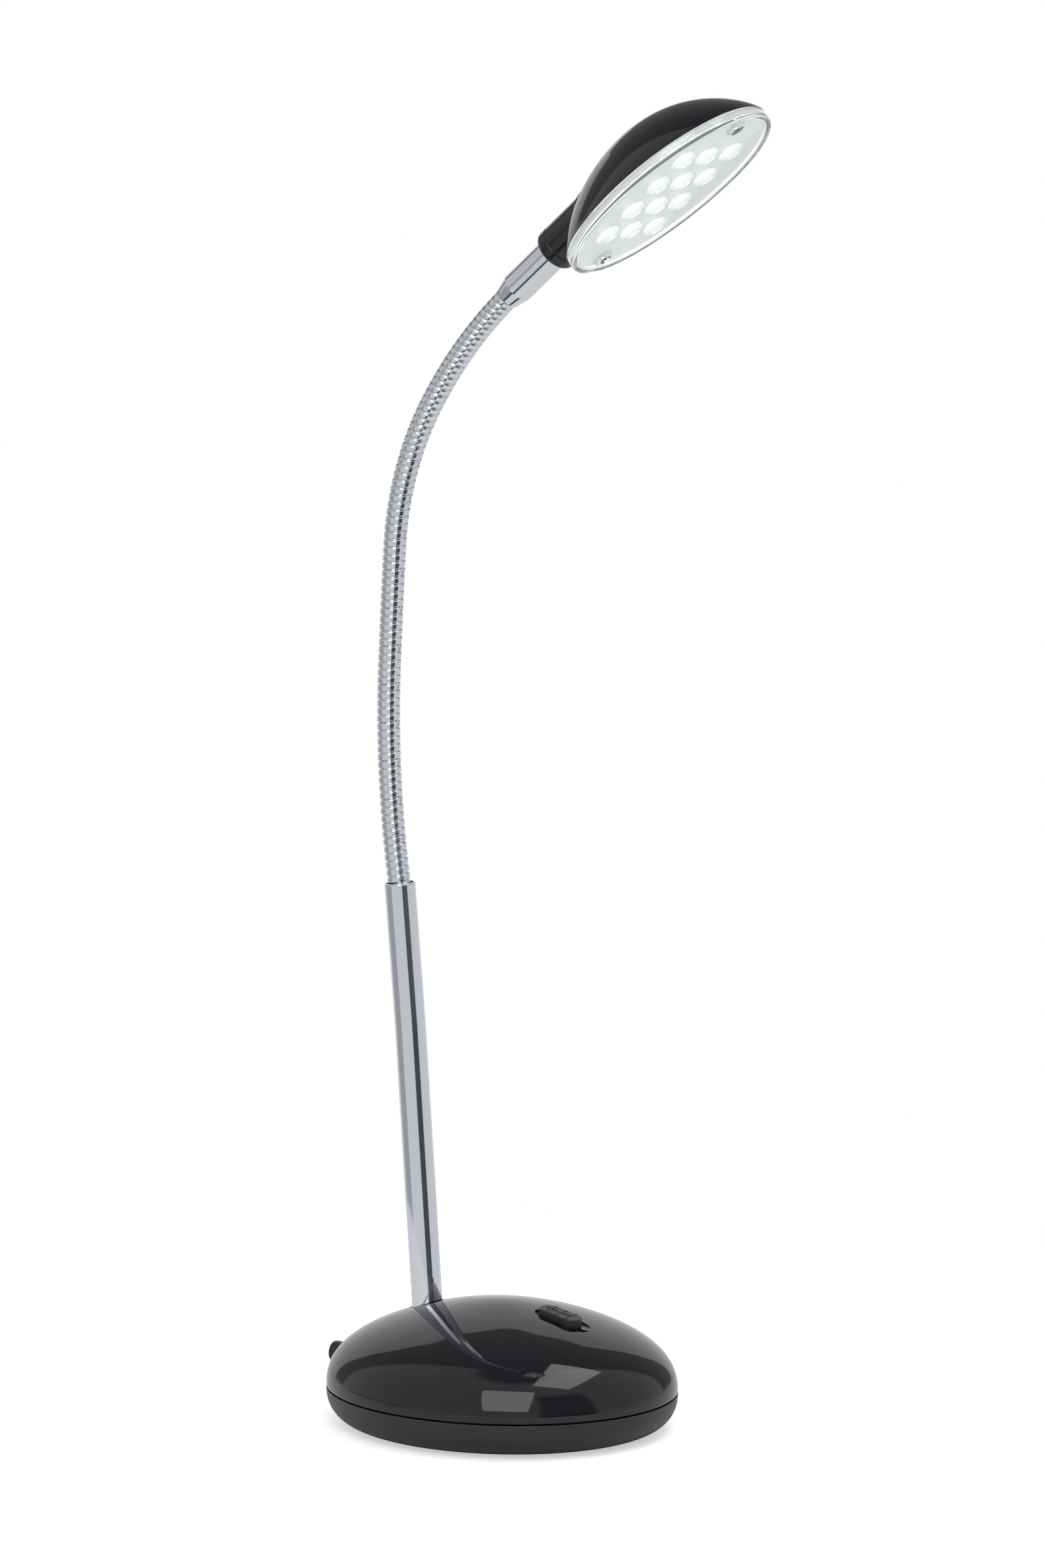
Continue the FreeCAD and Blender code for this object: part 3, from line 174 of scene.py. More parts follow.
class LampColours(bpy.types.PropertyGroup):
    """Colours of the lamp's finishes and the level of its light."""

    gloss: colour("Gloss black", (0.0042, 0.0022, 0.0052), "Dome of the base and of the head")
    satin: colour("Satin black", (0.0125, 0.0105, 0.012), "Tray, holder and switch cap")
    chrome: colour("Chrome", (0.66, 0.69, 0.73), "Stem, neck and collar")
    clear: colour("Clear cover", (0.93, 0.975, 0.955), "Cover under the head")
    silver: colour("Silver", (0.6, 0.605, 0.62), "Plate behind the cover")
    # The light colour is also the colour of the painted glow on the silver plate.
    light: colour("Light", (0.86, 0.94, 1.0), "The lit lights")
    light_level: plain("Light level", 4.5, "How bright the lights are")
    weight: colour("Weight", (0.09, 0.09, 0.095), "Cast weight in the base")
    zinc: colour("Zinc", (0.56, 0.57, 0.58), "Screws, nut, washer and flange")
    board: colour("Board", (0.75, 0.78, 0.74), "Circuit boards")
    rubber: colour("Rubber", (0.03, 0.03, 0.031), "Rest pad")
    floor: colour("Floor", (0.93, 0.93, 0.93), "Desk surface")


def sizes():
    return bpy.context.scene.lamp_sizes


def colours():
    return bpy.context.scene.lamp_colours


# Frames of the lamp's pieces


def stem_frame():
    """Stem axis on local Z, with the origin at desk level."""
    s = sizes()
    return Matrix.Translation((-s.stem_foot, 0, 0)) @ Matrix.Rotation(-s.stem_lean, 4, "Y")


def neck_arcs():
    """Start x, start z, start angle and bend of each link: an arc through two neighbouring hinges.

    A chord's direction is the mean of its arc's end directions, so each end follows from the one before.
    The last link repeats the bend of the one before it.
    """
    s = sizes()
    points = [(s.neck_start[0], s.neck_start[2])]
    points += [(joint["pos_m"][0], joint["pos_m"][2]) for joint in HINGES]
    arcs = []
    angle = s.neck_start_angle
    for (x, z), (next_x, next_z) in zip(points, points[1:]):
        chord = math.atan2(next_z - z, next_x - x)
        bend = 2 * (angle - chord)
        arcs.append((x, z, angle, bend))
        angle -= bend
    arcs.append((*points[-1], angle, arcs[-1][3]))
    return np.array(arcs)


def neck_line(distance):
    """Points x, z and direction angles of the neck's middle line at distances from its start."""
    arcs = neck_arcs()
    length = link_length()
    index = np.clip((distance / length).astype(int), 0, LINKS - 1)
    x, z, angle, bend = arcs[index].T
    share = distance / length - index
    turned = angle - bend * np.clip(share, 0, 1)
    curve = length / np.where(np.abs(bend) < 1e-9, 1e-9, bend)
    past = (share - np.clip(share, 0, 1)) * length
    x = x + curve * (np.sin(angle) - np.sin(turned)) + past * np.cos(turned)
    z = z - curve * (np.cos(angle) - np.cos(turned)) + past * np.sin(turned)
    return x, z, turned


def link_length():
    """Chord length of the first link, corrected to its arc."""
    s = sizes()
    first = HINGES[0]["pos_m"]
    chord = math.hypot(first[0] - s.neck_start[0], first[2] - s.neck_start[2])
    half = s.neck_start_angle - math.atan2(first[2] - s.neck_start[2], first[0] - s.neck_start[0])
    return chord * half / math.sin(half)


def head_frame():
    """Local X along the collar's axis, away from the neck, and Z to the dome's side."""
    x, z, angle = neck_line(np.array([LINKS * link_length()]))
    return Matrix.Translation((x[0], 0, z[0])) @ Matrix.Rotation(-angle[0], 4, "Y")


def axis_frame():
    """The head's frame turned so that its X becomes local Z, for turned pieces."""
    return head_frame() @ Matrix.Rotation(math.pi / 2, 4, "Y")


def dome_height(x):
    """Height of the base's dome over the middle plane: (x / R)^a + (z / H)^b = 1."""
    s = sizes()
    low = s.seam_height + s.seam_gap / 2
    share = soft_power(abs(x) / (s.base_length / 2), s.dome_side_power)
    return low + (s.base_height - low) * (1 - share) ** (1 / s.dome_top_power)


def switch_frame():
    """Middle of the switch on the dome, with local X along its travel."""
    s = sizes()
    place = Matrix.Translation((s.switch_x, 0, float(dome_height(s.switch_x))))
    return place @ Matrix.Rotation(s.switch_slope, 4, "Y")


# Surfaces: grids of points, rows along a profile and columns around


def soft_power(share, power, soft=0.07):
    """share^power with a rounded start, so that a dome has no point on top. It is still 0 at 0 and 1 at 1."""
    low = soft ** power
    return ((share ** 2 + soft ** 2) ** (power / 2) - low) / ((1 + soft ** 2) ** (power / 2) - low)


def turn(count):
    return np.linspace(0, 2 * np.pi, count, endpoint=False)


def oval(reach, count):
    """Unit direction factors x and y of an oval whose front, rear and side reach may differ."""
    angle = turn(count)
    front, rear, side = reach
    along = np.where(np.cos(angle) >= 0, front, rear)
    return along * np.cos(angle), side * np.sin(angle)


def rounded_profile(corners, radii, steps=5, hold=0.00012):
    """Polyline through corners with each corner replaced by an arc of its radius.

    A point at the distance hold before and after each arc keeps the shading of the straight parts straight.
    """
    corners = [np.array(corner, float) for corner in corners]
    points = [corners[0]]
    for before, corner, after, radius in zip(corners, corners[1:], corners[2:], radii):
        if radius <= 0:
            points.append(corner)
            continue
        back = (before - corner) / np.linalg.norm(before - corner)
        ahead = (after - corner) / np.linalg.norm(after - corner)
        half = math.acos(max(-1.0, min(1.0, float(back @ ahead)))) / 2
        reach = radius / math.tan(half)
        middle = corner + (back + ahead) / np.linalg.norm(back + ahead) * radius / math.sin(half)
        start, end = corner + back * reach - middle, corner + ahead * reach - middle
        if np.linalg.norm(points[-1] - corner) > reach + 2 * hold:
            points.append(corner + back * (reach + hold))
        for share in np.linspace(0, 1, steps):
            spoke = start * (1 - share) + end * share
            points.append(middle + spoke / np.linalg.norm(spoke) * radius)
        if np.linalg.norm(after - corner) > reach + 2 * hold:
            points.append(corner + ahead * (reach + hold))
    points.append(corners[-1])
    return np.array(points)


def grid_faces(rows, columns, start=0, around=True, closed=False):
    """Quads of a grid. Rows run outwards along a profile; columns close round the axis if around."""
    row = np.arange(rows if closed else rows - 1)[:, None]
    column = np.arange(columns if around else columns - 1)[None, :]
    after_row = (row + 1) % rows
    after_column = (column + 1) % columns
    corners = np.stack(np.broadcast_arrays(
        row * columns + column, row * columns + after_column,
        after_row * columns + after_column, after_row * columns + column), axis=-1)
    return corners.reshape(-1, 4) + start


def fan_faces(row, columns, centre, start=0):
    """Triangles from one row of a grid to a centre point."""
    column = np.arange(columns)
    first = row * columns + column + start
    second = row * columns + (column + 1) % columns + start
    return np.stack([first, second, np.full(columns, centre)], axis=-1)


class Surface:
    """Collects grids of points and their faces, to become one mesh."""

    def __init__(self):
        self.points = []
        self.faces = []
        self.count = 0

    def add_grid(self, points, around=True, closed=False, caps=(False, False)):
        rows, columns = points.shape[:2]
        start = self.count
        self.points.append(points.reshape(-1, 3))
        self.count += rows * columns
        self.faces += grid_faces(rows, columns, start, around, closed).tolist()
        for capped, row in zip(caps, (0, rows - 1)):
            if capped:
                self.points.append(points[row].mean(axis=0)[None])
                self.faces += fan_faces(row, columns, self.count, start).tolist()
                self.count += 1
        return self

    def make(self, name, place=None, outward=True, sharp=40):
        """Mesh object at the origin, unturned, with smooth faces and sharp edges past an angle."""
        points = np.concatenate(self.points)
        if place is not None:
            matrix = np.array(place)
            points = points @ matrix[:3, :3].T + matrix[:3, 3]
        mesh = bpy.data.meshes.new(name)
        mesh.from_pydata(points.tolist(), [], self.faces)
        if outward:
            work = bmesh.new()
            work.from_mesh(mesh)
            bmesh.ops.remove_doubles(work, verts=work.verts, dist=1e-7)
            bmesh.ops.recalc_face_normals(work, faces=work.faces)
            work.to_mesh(mesh)
            work.free()
        mesh.validate()
        mesh.shade_smooth()
        mesh.set_sharp_from_angle(angle=math.radians(sharp))
        piece = bpy.data.objects.new(name, mesh)
        bpy.context.scene.collection.objects.link(piece)
        return piece


def turned_points(profile, columns=96):
    """Points of a profile of radius and height turned about Z."""
    profile = np.asarray(profile)
    angle = turn(columns)
    circle = np.stack([np.cos(angle), np.sin(angle)], axis=-1)
    flat = profile[:, None, :1] * circle[None]
    height = np.broadcast_to(profile[:, None, 1:], (len(profile), columns, 1))
    return np.concatenate([flat, height], axis=-1)


def turned_piece(name, corners, radii, place, columns=96, closed=True, sharp=40):
    """Closed profile of radius and height turned about local Z."""
    profile = rounded_profile(corners, radii)
    surface = Surface().add_grid(turned_points(profile, columns), closed=closed, caps=(not closed,) * 2)
    return surface.make(name, place, sharp=sharp)


def slot_row(length, width, inset, columns=24):
    """Outline with round ends drawn in by inset, its long side along X."""
    reach = (length - width) / 2
    radius = width / 2 - inset
    half = np.linspace(-np.pi / 2, np.pi / 2, columns)
    side = np.linspace(-1, 1, columns)[1:-1] * reach
    right = np.stack([reach + radius * np.cos(half), radius * np.sin(half)], axis=-1)
    top = np.stack([-side, np.full(len(side), radius)], axis=-1)
    left = -right
    return np.concatenate([right, top, left, -top])


def raise_row(row, height):
    return np.concatenate([row, np.broadcast_to(height, (len(row),))[:, None]], axis=-1)


def carve(piece, cutters, sharp=35):
    """Cuts closed solids out of a piece and removes them."""
    for cutter in cutters:
        modifier = piece.modifiers.new("Cut", "BOOLEAN")
        modifier.operation = "DIFFERENCE"
        modifier.solver = "EXACT"
        modifier.object = cutter
        graph = bpy.context.evaluated_depsgraph_get()
        cut = bpy.data.meshes.new_from_object(piece.evaluated_get(graph))
        piece.modifiers.clear()
        old = piece.data
        piece.data = cut
        bpy.data.meshes.remove(old)
        bpy.data.objects.remove(cutter)
    piece.data.name = piece.name
    piece.data.shade_smooth()
    piece.data.set_sharp_from_angle(angle=math.radians(sharp))
    return piece


def rod(radius, low, high, place, columns=64):
    """Plain closed cylinder along local Z, used to cut."""
    profile = [(radius, low), (radius, high)]
    return Surface().add_grid(turned_points(profile, columns), caps=(True, True)).make("cutter", place)


def slab(length, width, low, high, place):
    """Plain closed box about local Z, used to cut."""
    corners = np.array([(-1, -1), (1, -1), (1, 1), (-1, 1)]) / 2 * (length, width)
    points = np.stack([raise_row(corners, height) for height in (low, high)])
    return Surface().add_grid(points, caps=(True, True)).make("cutter", place)


def finish_piece(piece, body, material, slot, *nodes):
    """Gives a piece its material, its body and the nodes that it stands for."""
    piece.data.materials.clear()
    piece.data.materials.append(material)
    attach(piece, body)
    if nodes:
        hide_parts(*nodes)
    return piece


# Shared effects, as node groups


def new_group(name, inputs, outputs):
    """Empty node group with named sockets. inputs and outputs list (name, socket type, default)."""
    group = bpy.data.node_groups.new(name, "ShaderNodeTree")
    for kind, sockets in (("INPUT", inputs), ("OUTPUT", outputs)):
        for title, socket_type, default in sockets:
            socket = group.interface.new_socket(title, in_out=kind, socket_type=socket_type)
            if default is not None:
                socket.default_value = default
    return group, group.nodes.new("NodeGroupInput"), group.nodes.new("NodeGroupOutput")


def add_node(tree, kind, values=None, **settings):
    node = tree.nodes.new(kind)
    for name, value in settings.items():
        setattr(node, name, value)
    for socket, value in (values or {}).items():
        node.inputs[socket].default_value = value
    return node


def calc(tree, operation, *values, clamp=False):
    """Output of a Math node whose inputs are sockets or plain numbers."""
    node = add_node(tree, "ShaderNodeMath", operation=operation, use_clamp=clamp)
    for socket, value in zip(node.inputs, values):
        if isinstance(value, bpy.types.NodeSocket):
            tree.links.new(value, socket)
        else:
            socket.default_value = value
    return node.outputs[0]


def rise(tree, value, low, high):
    """Smooth step of a socket from 0 at low to 1 at high, both sockets or plain numbers."""
    node = add_node(tree, "ShaderNodeMapRange", interpolation_type="SMOOTHSTEP")
    for socket, number in (("Value", value), ("From Min", low), ("From Max", high)):
        if isinstance(number, bpy.types.NodeSocket):
            tree.links.new(number, node.inputs[socket])
        else:
            node.inputs[socket].default_value = number
    return node.outputs["Result"]


def band(tree, value, low, high, soft):
    """1 between low and high, falling to 0 over twice soft at each end."""
    start = rise(tree, value, low - soft, low + soft)
    end = rise(tree, value, high - soft, high + soft)
    return calc(tree, "MULTIPLY", start, calc(tree, "SUBTRACT", 1.0, end))


def towards(tree, level, goal, share):
    """level moved towards goal by share: level + share (goal - level)."""
    gap = calc(tree, "SUBTRACT", goal, level)
    return calc(tree, "MULTIPLY_ADD", share, gap, level)


def seen_directly(tree):
    """1 for camera and transmission rays and 0 for others."""
    path = add_node(tree, "ShaderNodeLightPath")
    return calc(tree, "MAXIMUM", path.outputs["Is Camera Ray"], path.outputs["Is Transmission Ray"])


def part_along(tree, place, axis):
    """Part of a vector socket along an axis."""
    along = add_node(tree, "ShaderNodeVectorMath", {1: axis}, operation="DOT_PRODUCT")
    tree.links.new(place, along.inputs[0])
    return along.outputs["Value"]


def grain_group():
    """Height of a fine moulded grain."""
    group, start, end = new_group(
        "Moulded Grain",
        [("Vector", "NodeSocketVector", None), ("Scale", "NodeSocketFloat", 900.0)],
        [("Height", "NodeSocketFloat", None)])
    noise = add_node(group, "ShaderNodeTexNoise", {"Detail": 3.0, "Roughness": 0.6})
    group.links.new(start.outputs["Vector"], noise.inputs["Vector"])
    group.links.new(start.outputs["Scale"], noise.inputs["Scale"])
    group.links.new(noise.outputs["Fac"], end.inputs["Height"])
    return group


def marks_group():
    """Roughness that wanders about a level, with a few clearer wipe marks."""
    group, start, end = new_group(
        "Handling Marks",
        [("Vector", "NodeSocketVector", None), ("Level", "NodeSocketFloat", 0.1),
         ("Spread", "NodeSocketFloat", 0.05), ("Scale", "NodeSocketFloat", 60.0)],
        [("Roughness", "NodeSocketFloat", None), ("Mask", "NodeSocketFloat", None)])
    broad = add_node(group, "ShaderNodeTexNoise", {"Detail": 4.0, "Roughness": 0.55})
    links = group.links
    links.new(start.outputs["Vector"], broad.inputs["Vector"])
    links.new(start.outputs["Scale"], broad.inputs["Scale"])
    shift = calc(group, "SUBTRACT", broad.outputs["Fac"], 0.5)
    scaled = calc(group, "MULTIPLY", shift, start.outputs["Spread"])
    links.new(calc(group, "ADD", scaled, start.outputs["Level"], clamp=True), end.inputs["Roughness"])
    links.new(broad.outputs["Fac"], end.inputs["Mask"])
    return group


def wear_group():
    """Colour that pales on outward edges, broken up by noise."""
    group, start, end = new_group(
        "Edge Wear",
        [("Vector", "NodeSocketVector", None), ("Colour", "NodeSocketColor", (0.1, 0.1, 0.1, 1)),
         ("Worn", "NodeSocketColor", (0.2, 0.2, 0.2, 1)), ("Amount", "NodeSocketFloat", 0.5)],
        [("Colour", "NodeSocketColor", None)])
    edge = add_node(group, "ShaderNodeNewGeometry")
    ramp = add_node(group, "ShaderNodeMapRange", {"From Min": 0.53, "From Max": 0.62})
    noise = add_node(group, "ShaderNodeTexNoise", {"Scale": 400.0, "Detail": 3.0})
    mix = add_node(group, "ShaderNodeMix", data_type="RGBA")
    links = group.links
    links.new(start.outputs["Vector"], noise.inputs["Vector"])
    links.new(edge.outputs["Pointiness"], ramp.inputs["Value"])
    mask = calc(group, "MULTIPLY", ramp.outputs["Result"], noise.outputs["Fac"])
    links.new(calc(group, "MULTIPLY", mask, start.outputs["Amount"], clamp=True), mix.inputs[0])
    links.new(start.outputs["Colour"], mix.inputs[6])
    links.new(start.outputs["Worn"], mix.inputs[7])
    links.new(mix.outputs[2], end.inputs["Colour"])
    return group


GROUP_NAMES = {grain_group: "Moulded Grain", marks_group: "Handling Marks", wear_group: "Edge Wear"}


def add_group(tree, maker, values):
    """Node of a shared group, which is built the first time that it is asked for."""
    node = tree.nodes.new("ShaderNodeGroup")
    node.node_tree = bpy.data.node_groups.get(GROUP_NAMES[maker]) or maker()
    for socket, value in values.items():
        node.inputs[socket].default_value = value
    return node


def finish_material(name, tint, marks=(0.3, 0.05, 60.0), grain=None, worn=None, settings=None):
    """Principled material with marks in its roughness and, where given, moulded grain and worn edges.

    marks is the roughness level, its spread and the marks' scale. grain is its scale, strength and depth.
    """
    found = bpy.data.materials.get("lamp_" + name)
    if found:
        return found
    material = bpy.data.materials.new("lamp_" + name)
    material.use_nodes = True
    tree = material.node_tree
    shader = tree.nodes["Principled BSDF"]
    shader.inputs["Base Color"].default_value = (*tint, 1)
    for socket, value in (settings or {}).items():
        shader.inputs[socket].default_value = value
    place = add_node(tree, "ShaderNodeTexCoord")
    level, spread, scale = marks
    wander = add_group(tree, marks_group, {"Level": level, "Spread": spread, "Scale": scale})
    tree.links.new(place.outputs["Object"], wander.inputs["Vector"])
    tree.links.new(wander.outputs["Roughness"], shader.inputs["Roughness"])
    if worn:
        wear = add_group(tree, wear_group, {"Colour": (*tint, 1), "Worn": (*worn, 1)})
        tree.links.new(place.outputs["Object"], wear.inputs["Vector"])
        tree.links.new(wear.outputs["Colour"], shader.inputs["Base Color"])
    if grain:
        texture = add_group(tree, grain_group, {"Scale": grain[0]})
        bump = add_node(tree, "ShaderNodeBump", {"Strength": grain[1], "Distance": grain[2]})
        tree.links.new(place.outputs["Object"], texture.inputs["Vector"])
        tree.links.new(texture.outputs["Height"], bump.inputs["Height"])
        tree.links.new(bump.outputs["Normal"], shader.inputs["Normal"])
    return material


# Finishes


def gloss_black():
    return finish_material(
        "gloss_black", colours().gloss, (0.045, 0.03, 45.0),
        settings={"IOR": 1.5, "Coat Weight": 0.0})


def satin_black():
    return finish_material(
        "satin_black", colours().satin, (0.42, 0.08, 120.0), (1400.0, 0.16, 0.0004), (0.06, 0.056, 0.056),
        {"IOR": 1.48})


def holder_black():
    return finish_material(
        "holder_black", colours().gloss, (0.16, 0.05, 80.0), (700.0, 0.04, 0.0004),
        settings={"IOR": 1.5})


def bright_chrome():
    return finish_material(
        "bright_chrome", colours().chrome, (0.07, 0.05, 90.0), (500.0, 0.03, 0.0003),
        settings={"Metallic": 1.0})


def clear_plastic_painted_glow():
    # The cover is no lamp: its faint emission is a painted glow, on the cover and the lens rings alike.
    return finish_material(
        "clear_plastic_painted_glow", colours().clear, (0.02, 0.02, 70.0),
        settings={
            "Transmission Weight": 1.0, "IOR": 1.49, "Emission Color": (0.94, 1.0, 0.97, 1),
            "Emission Strength": 0.035})


def silver_plate_painted_glow_and_shade():
    """Milky silver plate with a painted glow in the lights' colour; its far side, past the outline of the lens
    rings, is painted shade: a warm grey with no glow.

    The outline lies at y = narrowest + depth |sin(pi u / pitch)|, with u along the head from the lights' middle.
    """
    c, s = colours(), sizes()
    # The plate is no lamp: its emission is a painted glow, and its warm grey far side is painted shade.
    material = finish_material(
        "silver_plate", c.silver, (0.38, 0.08, 150.0), (600.0, 0.05, 0.0003),
        settings={"Metallic": 0.1, "Emission Strength": 0.1})
    narrowest, depth, softness = s.light_pitch + 0.0034, 0.0022, 0.0008
    tree = material.node_tree
    place = tree.nodes.new("ShaderNodeTexCoord").outputs["Object"]
    axis = head_frame().col[0].to_3d()
    start = head_frame().translation.dot(axis) + s.grid_middle
    split = tree.nodes.new("ShaderNodeSeparateXYZ")
    tree.links.new(place, split.inputs[0])
    reach = calc(tree, "SUBTRACT", part_along(tree, place, axis), start)
    turns = calc(tree, "MULTIPLY", reach, math.pi / s.light_pitch)
    bulge = calc(tree, "ABSOLUTE", calc(tree, "SINE", turns))
    edge = calc(tree, "MULTIPLY_ADD", bulge, depth, narrowest)
    # Painted shade: 1 past the wavy outline, where the plate turns warm grey and loses its glow.
    painted_shade_share = rise(tree, split.outputs["Y"], edge, calc(tree, "ADD", edge, softness))
    # lit is the share that keeps the silver colour and the painted glow.
    lit = calc(tree, "SUBTRACT", 1.0, painted_shade_share)
    shader = tree.nodes["Principled BSDF"]
    # Lit and shaded copies of one material: base colour silver or the painted-shade warm grey, emission the
    # lights' colour as painted glow or none.
    for socket, painted_shade_value, bright in (
            ("Base Color", (0.64, 0.6, 0.585), c.silver), ("Emission Color", (0.0, 0.0, 0.0), c.light)):
        mix = add_node(tree, "ShaderNodeMix", {6: (*painted_shade_value, 1), 7: (*bright, 1)}, data_type="RGBA")
        tree.links.new(lit, mix.inputs[0])
        tree.links.new(mix.outputs[2], shader.inputs[socket])
    return material


def lit_light():
    return finish_material(
        "lit_light", colours().light, (0.2, 0.05, 300.0),
        settings={"Emission Color": (*colours().light, 1), "Emission Strength": colours().light_level})


def plain_finish(name, tint, level, metallic=0.0, grain=(900.0, 0.2, 0.0004)):
    return finish_material(
        name, tint, (level, 0.1, 150.0), grain, tuple(min(1, 1.8 * part) for part in tint),
        {"Metallic": metallic})


# Pieces of the base


def base_reach(inset=0.0):
    s = sizes()
    half = s.base_length / 2 - inset
    return half, half, s.base_width / 2 - inset


def dome_rows(reach, height, powers, rows, columns):
    """Dome (r / R)^a + (z / H)^b = 1 over an oval, rows from the rim to near the top."""
    angle = np.linspace(0, np.pi / 2, rows + 1)[:-1]
    share = np.cos(angle) ** (2 / powers[0])
    level = height * (1 - soft_power(share, powers[0])) ** (1 / powers[1])
    x, y = oval(reach, columns)
    return np.stack([
        share[:, None] * x, share[:, None] * y, np.broadcast_to(level[:, None], (rows, columns))], axis=-1)


def make_base_dome():
    """Glossy dome with the stem's hole, the switch recess and the inlet's hole."""
    s = sizes()
    low = s.seam_height + s.seam_gap / 2
    powers = (s.dome_side_power, s.dome_top_power)
    rows, columns = 90, 300
    outer = dome_rows(base_reach(), s.base_height - low, powers, rows, columns)
    inner = dome_rows(
        base_reach(s.shell_wall), s.base_height - low - s.shell_wall, powers, rows // 3, columns)
    edge = 0.00035
    angle = np.linspace(0, np.pi / 2, 5)[:-1]
    x, y = oval(base_reach(), columns)
    shrink = 1 - edge * (1 - np.sin(angle))[:, None] / (s.base_length / 2)
    rim = np.stack([
        x * shrink, y * shrink, np.broadcast_to(edge * (1 - np.cos(angle))[:, None], (4, columns))], axis=-1)
    outer = outer[outer[:, 0, 2] > edge]
    points = np.concatenate([inner[::-1], rim, outer])
    points[..., 2] += low
    dome = Surface().add_grid(points, caps=(True, True)).make("base_dome")
    gap = 0.0008
    well = np.stack([
        raise_row(slot_row(s.recess_length, s.recess_width, inset), height)
        for inset, height in ((0.0006, -s.recess_depth), (0.00015, -s.recess_depth + 0.0003),
                              (0.0, -s.recess_depth + 0.0009), (0.0, 0.006))])
    cutters = [
        rod(s.stem_radius + gap, 0.02, 0.06, stem_frame()),
        Surface().add_grid(well, caps=(True, True)).make("cutter", switch_frame()),
        rod(s.inlet_radius + 0.00015, 0.03, 0.08,
            Matrix.Translation((0, 0, s.inlet_height)) @ Matrix.Rotation(-math.pi / 2, 4, "Y")),
    ]
    carve(dome, cutters)
    return finish_piece(dome, "base", gloss_black(), "gloss_black", "base_shell")


def make_base_tray():
    """Satin tray: a flat floor, a side that swells out to the seam and a lip inside the dome."""
    s = sizes()
    top = s.seam_height - s.seam_gap / 2
    columns = 240
    angle = np.linspace(0, np.pi / 2, 28)
    inset = s.tray_undercut * (1 - np.sin(angle) ** (2 / s.tray_power))
    level = s.tray_under + (top - s.tray_under) * (1 - np.cos(angle).clip(0) ** (2 / s.tray_power))
    lip = s.shell_wall + 0.00015
    bevel, lip_wall, lip_height, lip_depth = 0.0003, 0.0011, 0.0022, 0.004
    inset = np.concatenate([[2 * s.tray_undercut], inset, [bevel, lip, lip, lip + lip_wall, lip + lip_wall]])
    level = np.concatenate([
        [s.tray_under], level, [top, top, top + lip_height, top + lip_height, top - lip_depth]])
    share = 1 - inset / (s.base_length / 2)
    x, y = oval(base_reach(), columns)
    points = np.stack([
        share[:, None] * x, share[:, None] * y,
        np.broadcast_to(level[:, None], (len(level), columns))], axis=-1)
    tray = Surface().add_grid(points, caps=(True, True)).make("base_tray_skin", sharp=30)
    return finish_piece(tray, "base", satin_black(), "satin_black", "base_tray")


def make_stem():
    """Chrome tube carried along two straight runs and one slight bend, with a rolled mouth."""
    s = sizes()
    radius, wall, roll = s.stem_radius, s.stem_wall, 0.00045
    low = 0.012
    outer = np.append(np.linspace(low, s.stem_length - 2 * roll, 40), s.stem_length - roll)
    mouth = np.linspace(0, np.pi / 2, 6)
    along = np.concatenate([
        outer, s.stem_length - roll + roll * np.sin(mouth[1:]), [s.stem_length, s.stem_length - 0.02, low]])
    reach = np.concatenate([
        np.full(len(outer), radius), radius - roll + roll * np.cos(mouth[1:]),
        [radius - wall, radius - wall, radius - wall]])
    bent = np.maximum(along - s.stem_kink_at, 0) * math.sin(s.stem_kink)
    middle_x = -bent
    middle_z = along - bent * math.tan(s.stem_kink / 2)
    tilt = np.where(along > s.stem_kink_at, s.stem_kink, 0.0)
    angle = turn(96)
    across = reach[:, None] * np.cos(angle)
    points = np.stack([
        middle_x[:, None] + across * np.cos(tilt)[:, None], reach[:, None] * np.sin(angle),
        middle_z[:, None] + across * np.sin(tilt)[:, None]], axis=-1)
    stem = Surface().add_grid(points, closed=True).make("stem_chrome", stem_frame())
    return finish_piece(stem, "base", bright_chrome(), "chrome", "stem_tube")


def make_inlet():
    """Turned cable inlet with a rolled mouth, along the back of the base."""
    s = sizes()
    place = Matrix.Translation((0, 0, s.inlet_height)) @ Matrix.Rotation(-math.pi / 2, 4, "Y")
    back = s.base_length / 2 - 0.009
    corners = [
        (s.inlet_bore, s.inlet_reach - 0.004), (s.inlet_bore, back), (s.inlet_radius, back),
        (s.inlet_radius, s.inlet_reach), (s.inlet_bore, s.inlet_reach), (s.inlet_bore, s.inlet_reach - 0.003)]
    inlet = turned_piece("cable_inlet_skin", corners, [0.0, 0.0003, 0.0006, 0.0006], place)
    return finish_piece(inlet, "base", satin_black(), "satin_black", "cable_inlet")


